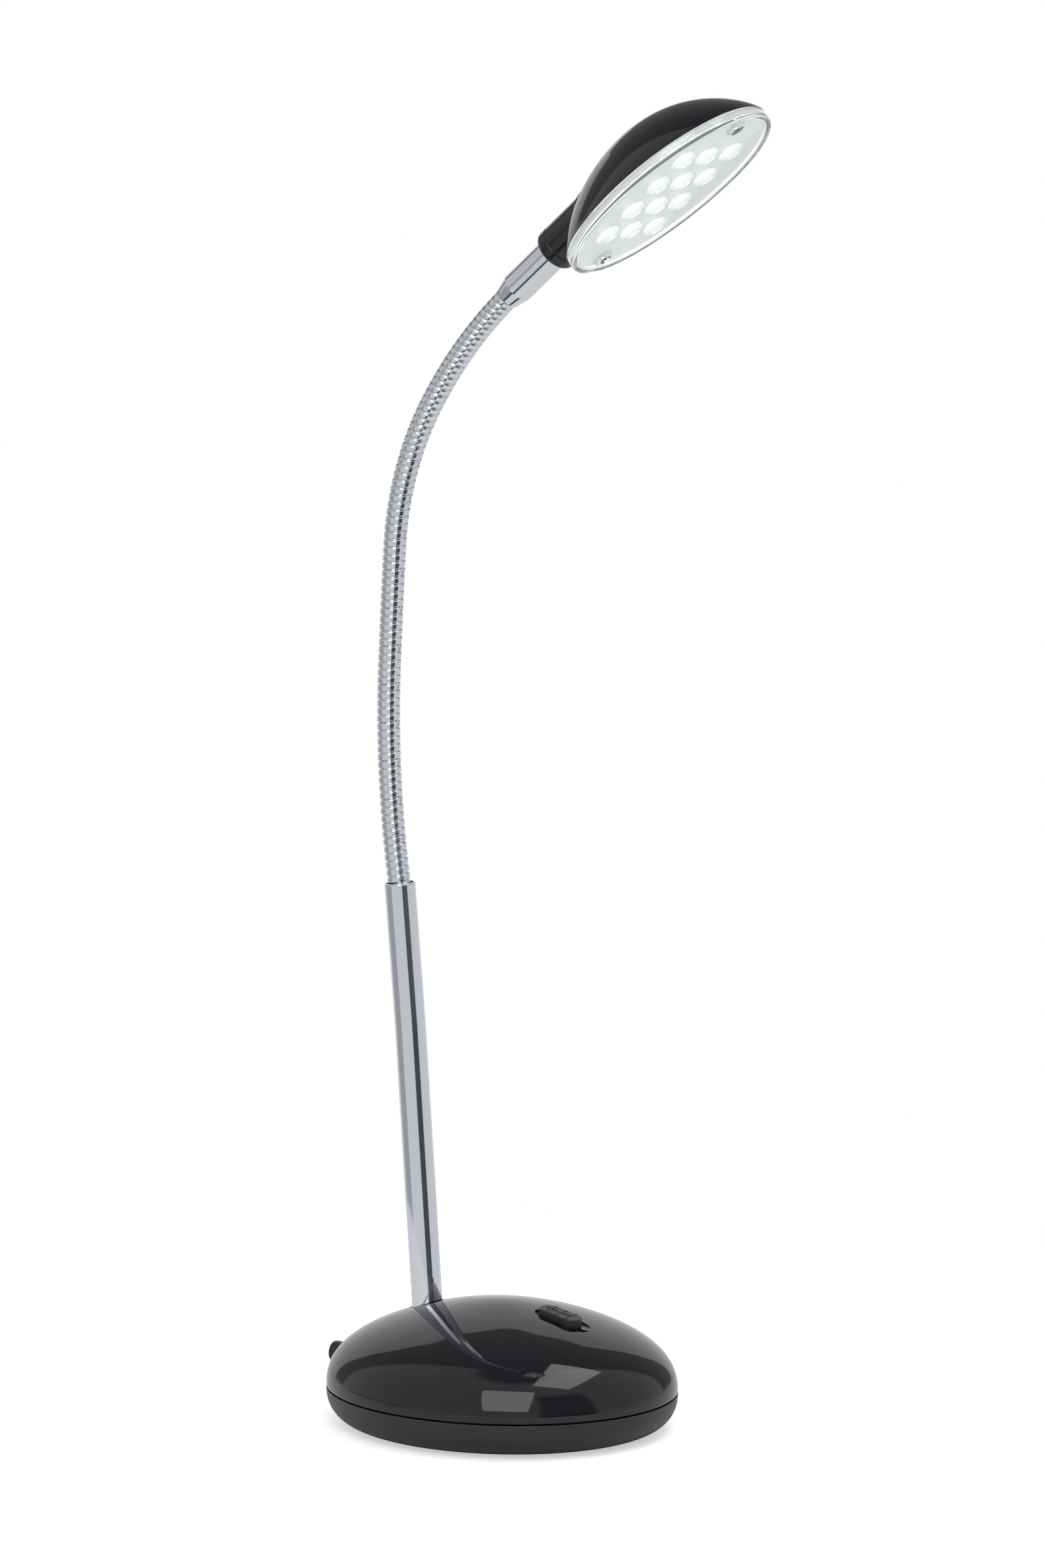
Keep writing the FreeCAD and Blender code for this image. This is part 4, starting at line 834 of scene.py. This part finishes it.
def make_switch_cap():
    """Slide cap with a rounded edge, raised finger ridges and a small dimple."""
    s = sizes()
    middle = (s.cap_length - s.recess_length) / 2 + s.cap_back_gap
    low = -s.recess_depth + 0.0002
    ridge, ridge_width, pitch, roll, edge_fade = 0.00022, 0.00022, 0.00385, 0.0004, 0.0006
    dimple_depth, dimple_radius, dimple_inset = 0.0005, 0.00065, 0.0026
    top = s.cap_proud - ridge
    turnings = np.linspace(0, np.pi / 2, 7)
    insets = np.concatenate([[0.0, 0.0], roll * (1 - np.cos(turnings[1:]))])
    heights = np.concatenate([[low, top - roll], top - roll + roll * np.sin(turnings[1:])])
    inner = np.linspace(roll, s.cap_width / 2 - 1e-5, 34)[1:]
    rows = []
    for inset, height in [*zip(insets, heights), *[(value, top) for value in inner]]:
        outline = slot_row(s.cap_length, s.cap_width, inset, 56)
        rows.append(raise_row(outline, height))
    points = np.stack(rows)
    x, y = points[..., 0], points[..., 1]
    level = np.clip((points[..., 2] - (top - roll)) / roll, 0, 1)
    lift = np.zeros_like(x)
    for index in range(CAP_RIDGES):
        place = (index - (CAP_RIDGES - 1) / 2) * pitch
        lift += ridge * np.exp(-((x - place) / ridge_width) ** 2)
    edge = np.clip((s.cap_width / 2 - np.hypot(
        y, np.maximum(np.abs(x) - (s.cap_length - s.cap_width) / 2, 0))) / edge_fade, 0, 1)
    from_dimple = (x + s.cap_length / 2 - dimple_inset) ** 2 + y ** 2
    dimple = -dimple_depth * np.exp(-from_dimple / dimple_radius ** 2)
    points[..., 2] += (lift * edge + dimple) * level
    points[..., 0] += middle
    cap = Surface().add_grid(points, caps=(True, True)).make("switch_cap_skin", switch_frame(), sharp=60)
    return finish_piece(cap, "switch", satin_black(), "satin_black", "switch_cap")


# Neck: a strip-wound hose in curved pieces that each reach across a hinge


def make_neck_piece(number, start, end, parent, child, nodes):
    """One length of hose. Its radius follows a band and a groove that wind round it as a helix.

    The point at distance d and angle a has the radius of the band profile at (d - pitch a / 2 pi) / pitch.
    Rows follow the helix, so the last column of a row joins the first column one turn further on.
    """
    s = sizes()
    pitch = s.neck_pitch
    profile = np.array([
        (0.00, 0.0), (0.06, 0.08), (0.11, 0.45), (0.15, 0.86), (0.20, 0.98), (0.30, 1.0),
        (0.50, 1.0), (0.70, 1.0), (0.80, 0.98), (0.85, 0.86), (0.89, 0.45), (0.94, 0.08)])
    per_turn = len(profile)
    columns = 56
    turns = int(round((end - start) / pitch))
    lead = np.arange(columns) / columns
    base = start + pitch * (np.arange(turns)[:, None] + profile[None, :, 0]).reshape(-1)
    depth = np.tile(profile[:, 1], turns)
    base = np.append(base, base[0] + turns * pitch)
    depth = np.append(depth, depth[0])
    distance = base[:, None] + (lead[None] - 0.5) * pitch
    radius = s.neck_groove + (s.neck_radius - s.neck_groove) * np.broadcast_to(depth[:, None], distance.shape)
    x, z, angle = neck_line(distance.reshape(-1))
    x, z, angle = (values.reshape(distance.shape) for values in (x, z, angle))
    around = 2 * np.pi * lead[None]
    front, side = radius * np.cos(around), radius * np.sin(around)
    points = np.stack([x + front * np.sin(angle), side, z - front * np.cos(angle)], axis=-1)
    rows = len(base)
    index = np.arange(rows * columns).reshape(rows, columns)
    body = grid_faces(rows, columns, around=False)
    row = np.arange(rows - per_turn - 1)
    seam = np.stack([
        index[row, -1], index[row + per_turn, 0], index[row + per_turn + 1, 0], index[row + 1, -1]], axis=-1)
    surface = Surface()
    surface.points = [points.reshape(-1, 3)]
    surface.faces = np.concatenate([body, seam]).tolist()
    piece = surface.make("neck_hose_%02d" % number, outward=False, sharp=75)
    wall = piece.modifiers.new("Wall", "SOLIDIFY")
    wall.thickness = 0.0007
    wall.offset = -1
    piece.data.materials.append(bright_chrome())
    x, z, angle = neck_line(np.array([number * link_length()]))
    ahead = Vector((math.cos(angle[0]), 0, math.sin(angle[0]))) * 0.0045
    if number in BLENDS_FROM_CHILD:
        parent, child, ahead = child, parent, -ahead
    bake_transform(piece)
    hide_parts(*nodes)
    return piece


def make_neck():
    """Sixteen lengths of hose that meet at whole turns near the middles of the links."""
    pitch = sizes().neck_pitch
    turns = round(link_length() / pitch)
    for number in range(1, LINKS):
        start = 0.0 if number == 1 else (number * turns - turns // 2 - 1) * pitch
        end = ((number + 1) * turns - turns // 2 - 1) * pitch
        if number == LINKS - 1:
            end = LINKS * turns * pitch
        joint = HINGES[number - 1]
        nodes = ["neck_link_%02d" % number]
        if number == LINKS - 1:
            nodes.append("neck_link_%02d" % LINKS)
        make_neck_piece(number, start, end, joint["parent"], joint["child"], nodes)


# Pieces of the head


def make_collar():
    """Turned chrome collar, tapered to the neck, with a rolled lower edge."""
    s = sizes()
    inside = s.neck_radius + 0.0001
    corners = [
        (inside, 0.001), (inside, -0.0015), (s.collar_end_radius, -0.0015), (s.collar_radius, 0.0035),
        (s.collar_radius, 0.031), (inside, 0.031), (inside, 0.002)]
    collar = turned_piece("collar_chrome", corners, [0.0, 0.00018, 0.0009, 0.0, 0.0], axis_frame())
    return finish_piece(collar, "head", bright_chrome(), "chrome", "neck_collar")


def make_holder():
    """Turned black holder with a generously rounded mouth and a fine step behind it."""
    s = sizes()
    bore = s.collar_radius + 0.00005
    step = s.holder_start + 0.0042
    corners = [
        (bore, s.holder_start + 0.004), (bore, s.holder_start), (s.holder_radius, s.holder_start),
        (s.holder_radius, step), (s.holder_radius - 0.00018, step + 0.0002),
        (s.holder_radius - 0.00004, step + 0.0006),
        (s.holder_radius, s.holder_end), (bore, s.holder_end), (bore, s.holder_start + 0.005)]
    holder = turned_piece(
        "head_holder_skin", corners, [0.0003, 0.0018, 0.00008, 0.00008, 0.0002, 0.0, 0.0], axis_frame())
    return finish_piece(holder, "head", holder_black(), "satin_black", "head_holder")


def head_reach(inset=0.0):
    s = sizes()
    return s.head_front - inset, s.head_rear - inset, s.head_half_width - inset


def smooth_larger(first, second, width):
    """The larger of two heights with a rounded join: (a + b + sqrt((a - b)^2 + w^2)) / 2."""
    return (first + second + np.sqrt((first - second) ** 2 + width ** 2)) / 2 - width / 4


def make_head_dome():
    """Glossy dome of the head that swells over the holder, cut on a slant round it and flat at the tail."""
    s = sizes()
    low = s.cover_height - s.face_drop
    rows, columns = 110, 320
    outer = dome_rows(head_reach(), s.head_dome, HEAD_POWERS, rows, columns)
    outer[..., 0] += s.head_middle
    outer[..., 2] += low
    hood_radius = s.holder_radius + 0.00015 + s.hood_wall
    x, y = outer[..., 0], outer[..., 1]
    arch = np.sqrt(np.maximum(hood_radius ** 2 - y ** 2, 0))
    arch = np.where(np.abs(y) < hood_radius, arch, -0.02)
    fade = np.clip((x - 0.052) / 0.02, 0, 1) ** 2
    lifted = smooth_larger(outer[..., 2], arch - 0.03 * fade, 0.0016)
    near = np.clip((outer[..., 2] - low) / 0.004, 0, 1)
    outer[..., 2] += near * np.maximum(lifted - outer[..., 2] - 0.0002, 0)
    inner = dome_rows(head_reach(s.head_wall), s.head_dome - s.head_wall, HEAD_POWERS, rows // 3, columns)
    inner[..., 0] += s.head_middle
    inner[..., 2] += low
    points = np.concatenate([inner[::-1], outer])
    dome = Surface().add_grid(points, caps=(True, True)).make("head_dome", head_frame())
    hole = s.holder_radius + 0.00015
    run = s.hood_top_start - s.hood_low_start
    slope = math.atan2(2 * hole, run)
    slant = head_frame() @ Matrix.Translation((s.hood_low_start, 0, -hole)) @ Matrix.Rotation(-slope, 4, "Y")
    cut = s.head_tail_cut
    cutters = [
        rod(hole, 0.01, s.holder_end, axis_frame(), 96),
        slab(0.12, 0.12, 0.0, 0.05, slant),
        slab(0.04, 0.12, -0.03, 0.03, head_frame() @ Matrix.Translation((cut - 0.02, 0, 0))),
    ]
    carve(dome, cutters)
    return finish_piece(dome, "head", gloss_black(), "gloss_black", "head_shell")


def oval_profile_points(reach, insets, heights, columns=240):
    """Rows of one oval drawn in by each inset, at each height."""
    rows = []
    for inset, height in zip(insets, heights):
        x, y = oval([side - inset for side in reach], columns)
        rows.append(raise_row(np.stack([x, y], axis=-1), height))
    return np.stack(rows)


def light_places():
    s = sizes()
    row = (np.arange(LIGHT_ROWS) - (LIGHT_ROWS - 1) / 2) * s.light_pitch + s.grid_middle
    column = (np.arange(LIGHT_COLUMNS) - (LIGHT_COLUMNS - 1) / 2) * s.light_pitch
    return [(x, y) for x in row for y in column]


def screw_places():
    s = sizes()
    return [s.grid_middle - s.screw_spacing / 2, s.grid_middle + s.screw_spacing / 2]


def make_cover():
    """Clear pan: a rounded outer edge, a thick rim and a flat face."""
    s = sizes()
    face = -s.face_drop
    inside = face + s.cover_face
    top = face + s.cover_height
    roll = 0.0009
    angle = np.linspace(0, np.pi / 2, 7)
    wall = s.cover_wall
    insets = np.concatenate([
        [2 * roll, roll + 0.0001], roll * (1 - np.sin(angle)),
        [0.0, 0.0, 0.0003, 0.0004, wall - 0.0004, wall - 0.0003, wall, wall, wall, wall + 0.0002,
         wall + 0.0007, wall + 0.0008, wall + 0.0016]])
    heights = np.concatenate([
        [face, face], face + roll * (1 - np.cos(angle)),
        [top - 0.0004, top - 0.0003, top, top, top, top, top - 0.0003, top - 0.0004, inside + 0.0007,
         inside + 0.0002, inside, inside, inside]])
    points = oval_profile_points(head_reach(), insets, heights)
    points[..., 0] += s.head_middle
    cover = Surface().add_grid(points, caps=(True, True)).make("clear_cover", head_frame(), sharp=50)
    cut = s.head_tail_cut
    cutters = [slab(0.04, 0.12, -0.03, 0.03, head_frame() @ Matrix.Translation((cut - 0.02, 0, 0)))]
    for x in screw_places():
        hole = head_frame() @ Matrix.Translation((x, 0, 0))
        cutters.append(rod(0.00225, face - 0.001, inside + 0.001, hole, 48))
    carve(cover, cutters, sharp=50)
    return finish_piece(cover, "head", clear_plastic_painted_glow(), "clear", "face_cover")


def make_lens_rings():
    """Twelve clear lens rings and two screw bosses that stand on the cover's inner face."""
    s = sizes()
    inside = -s.face_drop + s.cover_face + 0.00002
    surface = Surface()
    outside, wall, tall = 0.0047, 0.0008, 0.00095
    corners = [
        (outside - wall, inside + 0.0004), (outside - wall, inside), (outside, inside),
        (outside, inside + tall), (outside - wall, inside + tall), (outside - wall, inside + 0.0005)]
    profile = rounded_profile(corners, [0.0001, 0.0001, 0.0003, 0.0003], 4)
    for x, y in light_places():
        surface.add_grid(turned_points(profile, 48) + np.array([x, y, 0.0]), closed=True)
    boss = [
        (0.00125, inside + 0.001), (0.00125, inside), (0.0033, inside), (0.0033, inside + 0.0024),
        (0.00125, inside + 0.0024), (0.00125, inside + 0.0012)]
    profile = rounded_profile(boss, [0.0001, 0.0001, 0.0002, 0.0001], 4)
    for x in screw_places():
        surface.add_grid(turned_points(profile, 48) + np.array([x, 0.0, 0.0]), closed=True)
    rings = surface.make("lens_rings", head_frame())
    return finish_piece(rings, "head", clear_plastic_painted_glow(), "clear")


def make_silver_plate():
    """Silver plate behind the cover, with a conical cup for each light."""
    s = sizes()
    low = -s.face_drop + s.cover_face + PLATE_GAP
    high = low + PLATE_THICKNESS
    roll = 0.0004
    inset = s.cover_wall + 0.0001
    insets = inset + roll * np.array([3, 1, 0.3, 0, 0, 1, 3])
    heights = [low, low, low + 0.3 * roll, low + roll, high - roll, high, high]
    points = oval_profile_points(head_reach(), insets, heights, 200)
    points[..., 0] += s.head_middle
    plate = Surface().add_grid(points, caps=(True, True)).make("silver_plate_skin", head_frame())
    place = head_frame()
    cutters = []
    for x, y in light_places():
        cup = [(0.0045, low - 0.0005), (0.0041, low + 0.0001), (0.0027, high + 0.0005)]
        cup_points = turned_points(cup, 48) + np.array([x, y, 0.0])
        cutters.append(Surface().add_grid(cup_points, caps=(True, True)).make("cutter", place))
    for x in screw_places():
        cutters.append(rod(0.0036, low - 0.001, high + 0.001, place @ Matrix.Translation((x, 0, 0)), 48))
    cut = s.head_tail_cut + s.cover_wall
    cutters.append(slab(0.04, 0.12, -0.03, 0.03, place @ Matrix.Translation((cut - 0.02, 0, 0))))
    carve(plate, cutters)
    return finish_piece(plate, "head", silver_plate_painted_glow_and_shade(), "silver", "silver_plate")


def make_lights():
    """Twelve lit domes in the cups."""
    s = sizes()
    base = -s.face_drop + s.cover_face + PLATE_GAP + PLATE_THICKNESS
    radius, foot, dome = 0.0023, 0.0006, 0.0016
    angle = np.linspace(0, np.pi / 2, 9)[:-1]
    profile = np.stack([
        np.concatenate([[radius, radius], radius * np.cos(angle)[1:]]),
        np.concatenate([[base, base - foot], base - foot - dome * np.sin(angle)[1:]])], axis=-1)
    surface = Surface()
    for x, y in light_places():
        surface.add_grid(turned_points(profile, 40) + np.array([x, y, 0.0]), caps=(True, True))
    lights = surface.make("lit_domes", head_frame())
    return finish_piece(lights, "head", lit_light(), "light", "lights")


def dress_inner_nodes():
    """Materials of the pieces that stay as they are."""
    c = colours()
    finishes = {
        "rest_pad": plain_finish("pad_rubber", c.rubber, 0.75),
        "ballast_weight": plain_finish("cast_weight", c.weight, 0.6, 0.7, (350.0, 0.5, 0.0008)),
        "driver_board": plain_finish("board_mask", c.board, 0.4),
        "light_board": plain_finish("board_mask", c.board, 0.4),
        "switch_body": satin_black(),
    }
    zinc = plain_finish("zinc_steel", c.zinc, 0.3, 1.0, (500.0, 0.08, 0.0003))
    for name in ("tray_screws", "cover_screws", "stem_flange", "stem_washer", "stem_nut", "neck_fitting"):
        finishes[name] = zinc
    for name, material in finishes.items():
        node = frame["nodes"][name]
        node.data.materials.clear()
        node.data.materials.append(material)


# Stage


VIEW_TURN = math.radians(35.4)
VIEW_DROP = math.radians(10.2)
CAMERA_PLACE = (2.3787, -3.3357, 0.9472)
CAMERA_LENS = 298.9
BACKDROP_DISTANCE = 0.43
BACKDROP_LEFT = -0.36
BACKDROP_RIGHT = 0.29
BACKDROP_HEIGHT = 0.5
FLOOR_RADIUS = 0.32
FLOOR_GLOW = 0.5
BACKDROP_GLOW = 0.84
EVEN_LEVEL = 0.62
CARD_COLUMNS = 49
FLOOR_CORNERS = 96
LIT_PLACE = (0, 0, 0.15)


def view_axes():
    """Level unit vectors to the right of the picture and away from the camera."""
    right = np.array([math.cos(VIEW_TURN), math.sin(VIEW_TURN), 0])
    ahead = np.array([-math.sin(VIEW_TURN), math.cos(VIEW_TURN), 0])
    return right, ahead


def add_object(name, data):
    """Object of some data in the scene's own collection."""
    added = bpy.data.objects.new(name, data)
    bpy.context.scene.collection.objects.link(added)
    return added


def make_camera():
    camera = add_object("camera", bpy.data.cameras.new("camera"))
    camera.data.lens = CAMERA_LENS
    camera.data.sensor_width = 36
    camera.data.clip_end = 50
    camera.location = CAMERA_PLACE
    ahead = Vector((
        -math.sin(VIEW_TURN) * math.cos(VIEW_DROP), math.cos(VIEW_TURN) * math.cos(VIEW_DROP),
        -math.sin(VIEW_DROP)))
    camera.rotation_mode = "QUATERNION"
    camera.rotation_quaternion = ahead.to_track_quat("-Z", "Y")
    bpy.context.scene.camera = camera


def studio_level(tree):
    """Brightness of the studio by direction, as gloss and chrome show it.

    The sides are grey, the ceiling and the far corners are dark, and so is the room to the right of the
    camera. Below, a dark line marks the table's front edge.
    """
    place = tree.nodes.new("ShaderNodeTexCoord").outputs["Generated"]
    rightwards, ahead = view_axes()
    right, back, up = (part_along(tree, place, axis) for axis in (rightwards, -ahead, (0, 0, 1)))
    heading = calc(tree, "DEGREES", calc(tree, "ARCTAN2", right, back))
    height = calc(tree, "DEGREES", calc(tree, "ARCSINE", up))
    aside = calc(tree, "ABSOLUTE", heading)
    far = calc(tree, "MULTIPLY", rise(tree, aside, 124.0, 130.0), rise(tree, height, -4.0, 2.0))
    ceiling = calc(tree, "MAXIMUM", far, rise(tree, height, 72.0, 80.0))
    below = calc(tree, "SUBTRACT", 1.0, rise(tree, height, -5.0, 3.0))
    low = calc(tree, "SUBTRACT", 1.0, rise(tree, height, 42.0, 52.0))
    room = calc(tree, "MULTIPLY", band(tree, heading, 14.0, 54.0, 3.5), low)
    left = calc(tree, "MULTIPLY", band(tree, heading, -124.0, -68.0, 5.0), below)
    table_front = band(tree, height, -45.0, -35.0, 1.5)
    edge = calc(tree, "MULTIPLY", table_front, band(tree, heading, -95.0, 5.0, 12.0))
    level = calc(tree, "MULTIPLY_ADD", below, 0.1, 0.68)
    level = towards(tree, level, 0.27, ceiling)
    level = towards(tree, level, 0.44, left)
    level = towards(tree, level, 0.1, edge)
    return towards(tree, level, calc(tree, "MULTIPLY_ADD", below, -0.19, 0.27), room)


def make_world():
    """White for camera and transmission rays, the studio for glossy rays and even light otherwise."""
    world = bpy.data.worlds.new("studio")
    bpy.context.scene.world = world
    world.use_nodes = True
    tree = world.node_tree
    tree.nodes.clear()
    links = tree.links
    path = add_node(tree, "ShaderNodeLightPath")
    even = add_node(tree, "ShaderNodeBackground", {"Color": (0.98, 0.99, 1.0, 1), "Strength": EVEN_LEVEL})
    studio = add_node(tree, "ShaderNodeBackground", {"Color": (0.97, 0.98, 1.0, 1)})
    white = add_node(tree, "ShaderNodeBackground", {"Color": (1, 1, 1, 1), "Strength": 1.0})
    links.new(studio_level(tree), studio.inputs["Strength"])
    glossy = add_node(tree, "ShaderNodeMixShader")
    links.new(path.outputs["Is Glossy Ray"], glossy.inputs[0])
    links.new(even.outputs[0], glossy.inputs[1])
    links.new(studio.outputs[0], glossy.inputs[2])
    whole = add_node(tree, "ShaderNodeMixShader")
    links.new(seen_directly(tree), whole.inputs[0])
    links.new(glossy.outputs[0], whole.inputs[1])
    links.new(white.outputs[0], whole.inputs[2])
    end = add_node(tree, "ShaderNodeOutputWorld")
    links.new(whole.outputs[0], end.inputs["Surface"])


def make_floor():
    """Pale round table top that keeps the lamp's shadow and glows a little where it is seen directly."""
    circle = turn(FLOOR_CORNERS)
    rim = np.stack([np.cos(circle), np.sin(circle), np.zeros(FLOOR_CORNERS)], axis=-1) * FLOOR_RADIUS
    mesh = bpy.data.meshes.new("floor")
    mesh.from_pydata(rim.tolist(), [], [tuple(range(FLOOR_CORNERS))])
    floor = add_object("floor", mesh)
    material = finish_material("pale_floor", colours().floor, (0.8, 0.05, 8.0), settings={"IOR": 1.05})
    tree = material.node_tree
    glow = calc(tree, "MULTIPLY", seen_directly(tree), FLOOR_GLOW)
    shader = tree.nodes["Principled BSDF"]
    shader.inputs["Emission Color"].default_value = (1, 1, 1, 1)
    tree.links.new(glow, shader.inputs["Emission Strength"])
    mesh.materials.append(material)


def make_backdrop():
    """Pale card behind the lamp with a wavy upper edge, which only gloss and chrome show."""
    share = np.linspace(0, 1, CARD_COLUMNS)
    across = BACKDROP_LEFT + (BACKDROP_RIGHT - BACKDROP_LEFT) * share
    waves = 0.05 * np.sin(9 * share) + 0.02 * np.sin(31 * share)
    top = BACKDROP_HEIGHT * (1 + waves - 0.5 * (2 * share - 1) ** 6)
    right, ahead = view_axes()
    bow = BACKDROP_DISTANCE - 0.35 * across ** 2
    foot = across[:, None] * right + bow[:, None] * ahead
    points = np.concatenate([foot, foot + top[:, None] * np.array([0, 0, 1])])
    mesh = bpy.data.meshes.new("backdrop")
    mesh.from_pydata(points.tolist(), [], grid_faces(2, CARD_COLUMNS, around=False).tolist())
    card = add_object("backdrop", mesh)
    material = finish_material("backdrop_card", (0.0, 0.0, 0.0), (1.0, 0.0, 1.0), settings={
        "IOR": 1.0, "Emission Color": (0.97, 0.98, 1.0, 1), "Emission Strength": BACKDROP_GLOW})
    mesh.materials.append(material)
    for kind in ("camera", "diffuse", "transmission", "shadow", "volume_scatter"):
        setattr(card, "visible_" + kind, False)


def make_panel_light(name, turn_from_view, elevation, distance, size, power):
    """Area light aimed at the lamp's middle, placed by angles from the camera's side."""
    data = bpy.data.lights.new(name, "AREA")
    data.shape = "RECTANGLE"
    data.size, data.size_y = size
    data.energy = power
    panel = add_object(name, data)
    heading = VIEW_TURN + math.radians(turn_from_view)
    climb = math.radians(elevation)
    spoke = Vector((
        math.sin(heading) * math.cos(climb), -math.cos(heading) * math.cos(climb), math.sin(climb)))
    panel.location = Vector(LIT_PLACE) + spoke * distance
    panel.rotation_mode = "QUATERNION"
    panel.rotation_quaternion = (-spoke).to_track_quat("-Z", "Y")


# Operators


class LAMP_OT_base(bpy.types.Operator):
    """Make the dome, the tray and the cable inlet of the base"""

    bl_idname = "lamp.base"
    bl_label = "Base"

    def execute(self, context):
        make_base_dome()
        make_base_tray()
        make_inlet()
        return {"FINISHED"}


class LAMP_OT_switch(bpy.types.Operator):
    """Make the sliding switch cap"""

    bl_idname = "lamp.switch"
    bl_label = "Switch Cap"

    def execute(self, context):
        make_switch_cap()
        return {"FINISHED"}


class LAMP_OT_stem(bpy.types.Operator):
    """Make the chrome stem tube"""

    bl_idname = "lamp.stem"
    bl_label = "Stem"

    def execute(self, context):
        make_stem()
        return {"FINISHED"}


class LAMP_OT_neck(bpy.types.Operator):
    """Make the flexible neck in curved lengths that each reach across a hinge"""

    bl_idname = "lamp.neck"
    bl_label = "Flexible Neck"

    def execute(self, context):
        make_neck()
        return {"FINISHED"}


class LAMP_OT_head(bpy.types.Operator):
    """Make the collar, the holder and the dome of the head"""

    bl_idname = "lamp.head"
    bl_label = "Head"

    def execute(self, context):
        make_collar()
        make_holder()
        make_head_dome()
        return {"FINISHED"}


class LAMP_OT_face(bpy.types.Operator):
    """Make the clear cover, its lens rings, the silver plate and the lights"""

    bl_idname = "lamp.face"
    bl_label = "Lit Face"

    def execute(self, context):
        make_cover()
        make_lens_rings()
        make_silver_plate()
        make_lights()
        return {"FINISHED"}


class LAMP_OT_inner(bpy.types.Operator):
    """Give the inner pieces their materials"""

    bl_idname = "lamp.inner"
    bl_label = "Inner Pieces"

    def execute(self, context):
        dress_inner_nodes()
        return {"FINISHED"}


class LAMP_OT_stage(bpy.types.Operator):
    """Make the floor, the lights and the camera"""

    bl_idname = "lamp.stage"
    bl_label = "Stage"

    def execute(self, context):
        make_world()
        make_floor()
        make_backdrop()
        make_panel_light("window_panel", -8, 31, 1.6, (0.85, 1.5), 8.5)
        make_panel_light("ceiling_panel", 84, 69, 1.6, (1.15, 0.62), 5.2)
        make_camera()
        bpy.context.scene.view_settings.view_transform = "Standard"
        return {"FINISHED"}


class LAMP_PT_panel(bpy.types.Panel):
    """Lists the lamp's pieces, sizes and colours"""

    bl_idname = "LAMP_PT_panel"
    bl_label = "Desk Lamp"
    bl_space_type = "VIEW_3D"
    bl_region_type = "UI"
    bl_category = "Desk Lamp"

    def draw(self, context):
        column = self.layout.column()
        for operator in OPERATORS:
            column.operator(operator.bl_idname)
        for group in (context.scene.lamp_sizes, context.scene.lamp_colours):
            for name in group.__annotations__:
                column.prop(group, name)


OPERATORS = (
    LAMP_OT_base, LAMP_OT_switch, LAMP_OT_stem, LAMP_OT_neck, LAMP_OT_head, LAMP_OT_face, LAMP_OT_inner,
    LAMP_OT_stage)
CLASSES = (LampSizes, LampColours, *OPERATORS, LAMP_PT_panel)


def register():
    for kind in CLASSES:
        bpy.utils.register_class(kind)
    bpy.types.Scene.lamp_sizes = bpy.props.PointerProperty(type=LampSizes)
    bpy.types.Scene.lamp_colours = bpy.props.PointerProperty(type=LampColours)


def unregister():
    del bpy.types.Scene.lamp_colours
    del bpy.types.Scene.lamp_sizes
    for kind in reversed(CLASSES):
        bpy.utils.unregister_class(kind)


def main():
    """Makes the whole lamp."""
    register()
    for step in ("base", "switch", "stem", "neck", "head", "face", "inner", "stage"):
        getattr(bpy.ops.lamp, step)()
    bpy.context.view_layer.update()


if __name__ == "__main__":
    main()
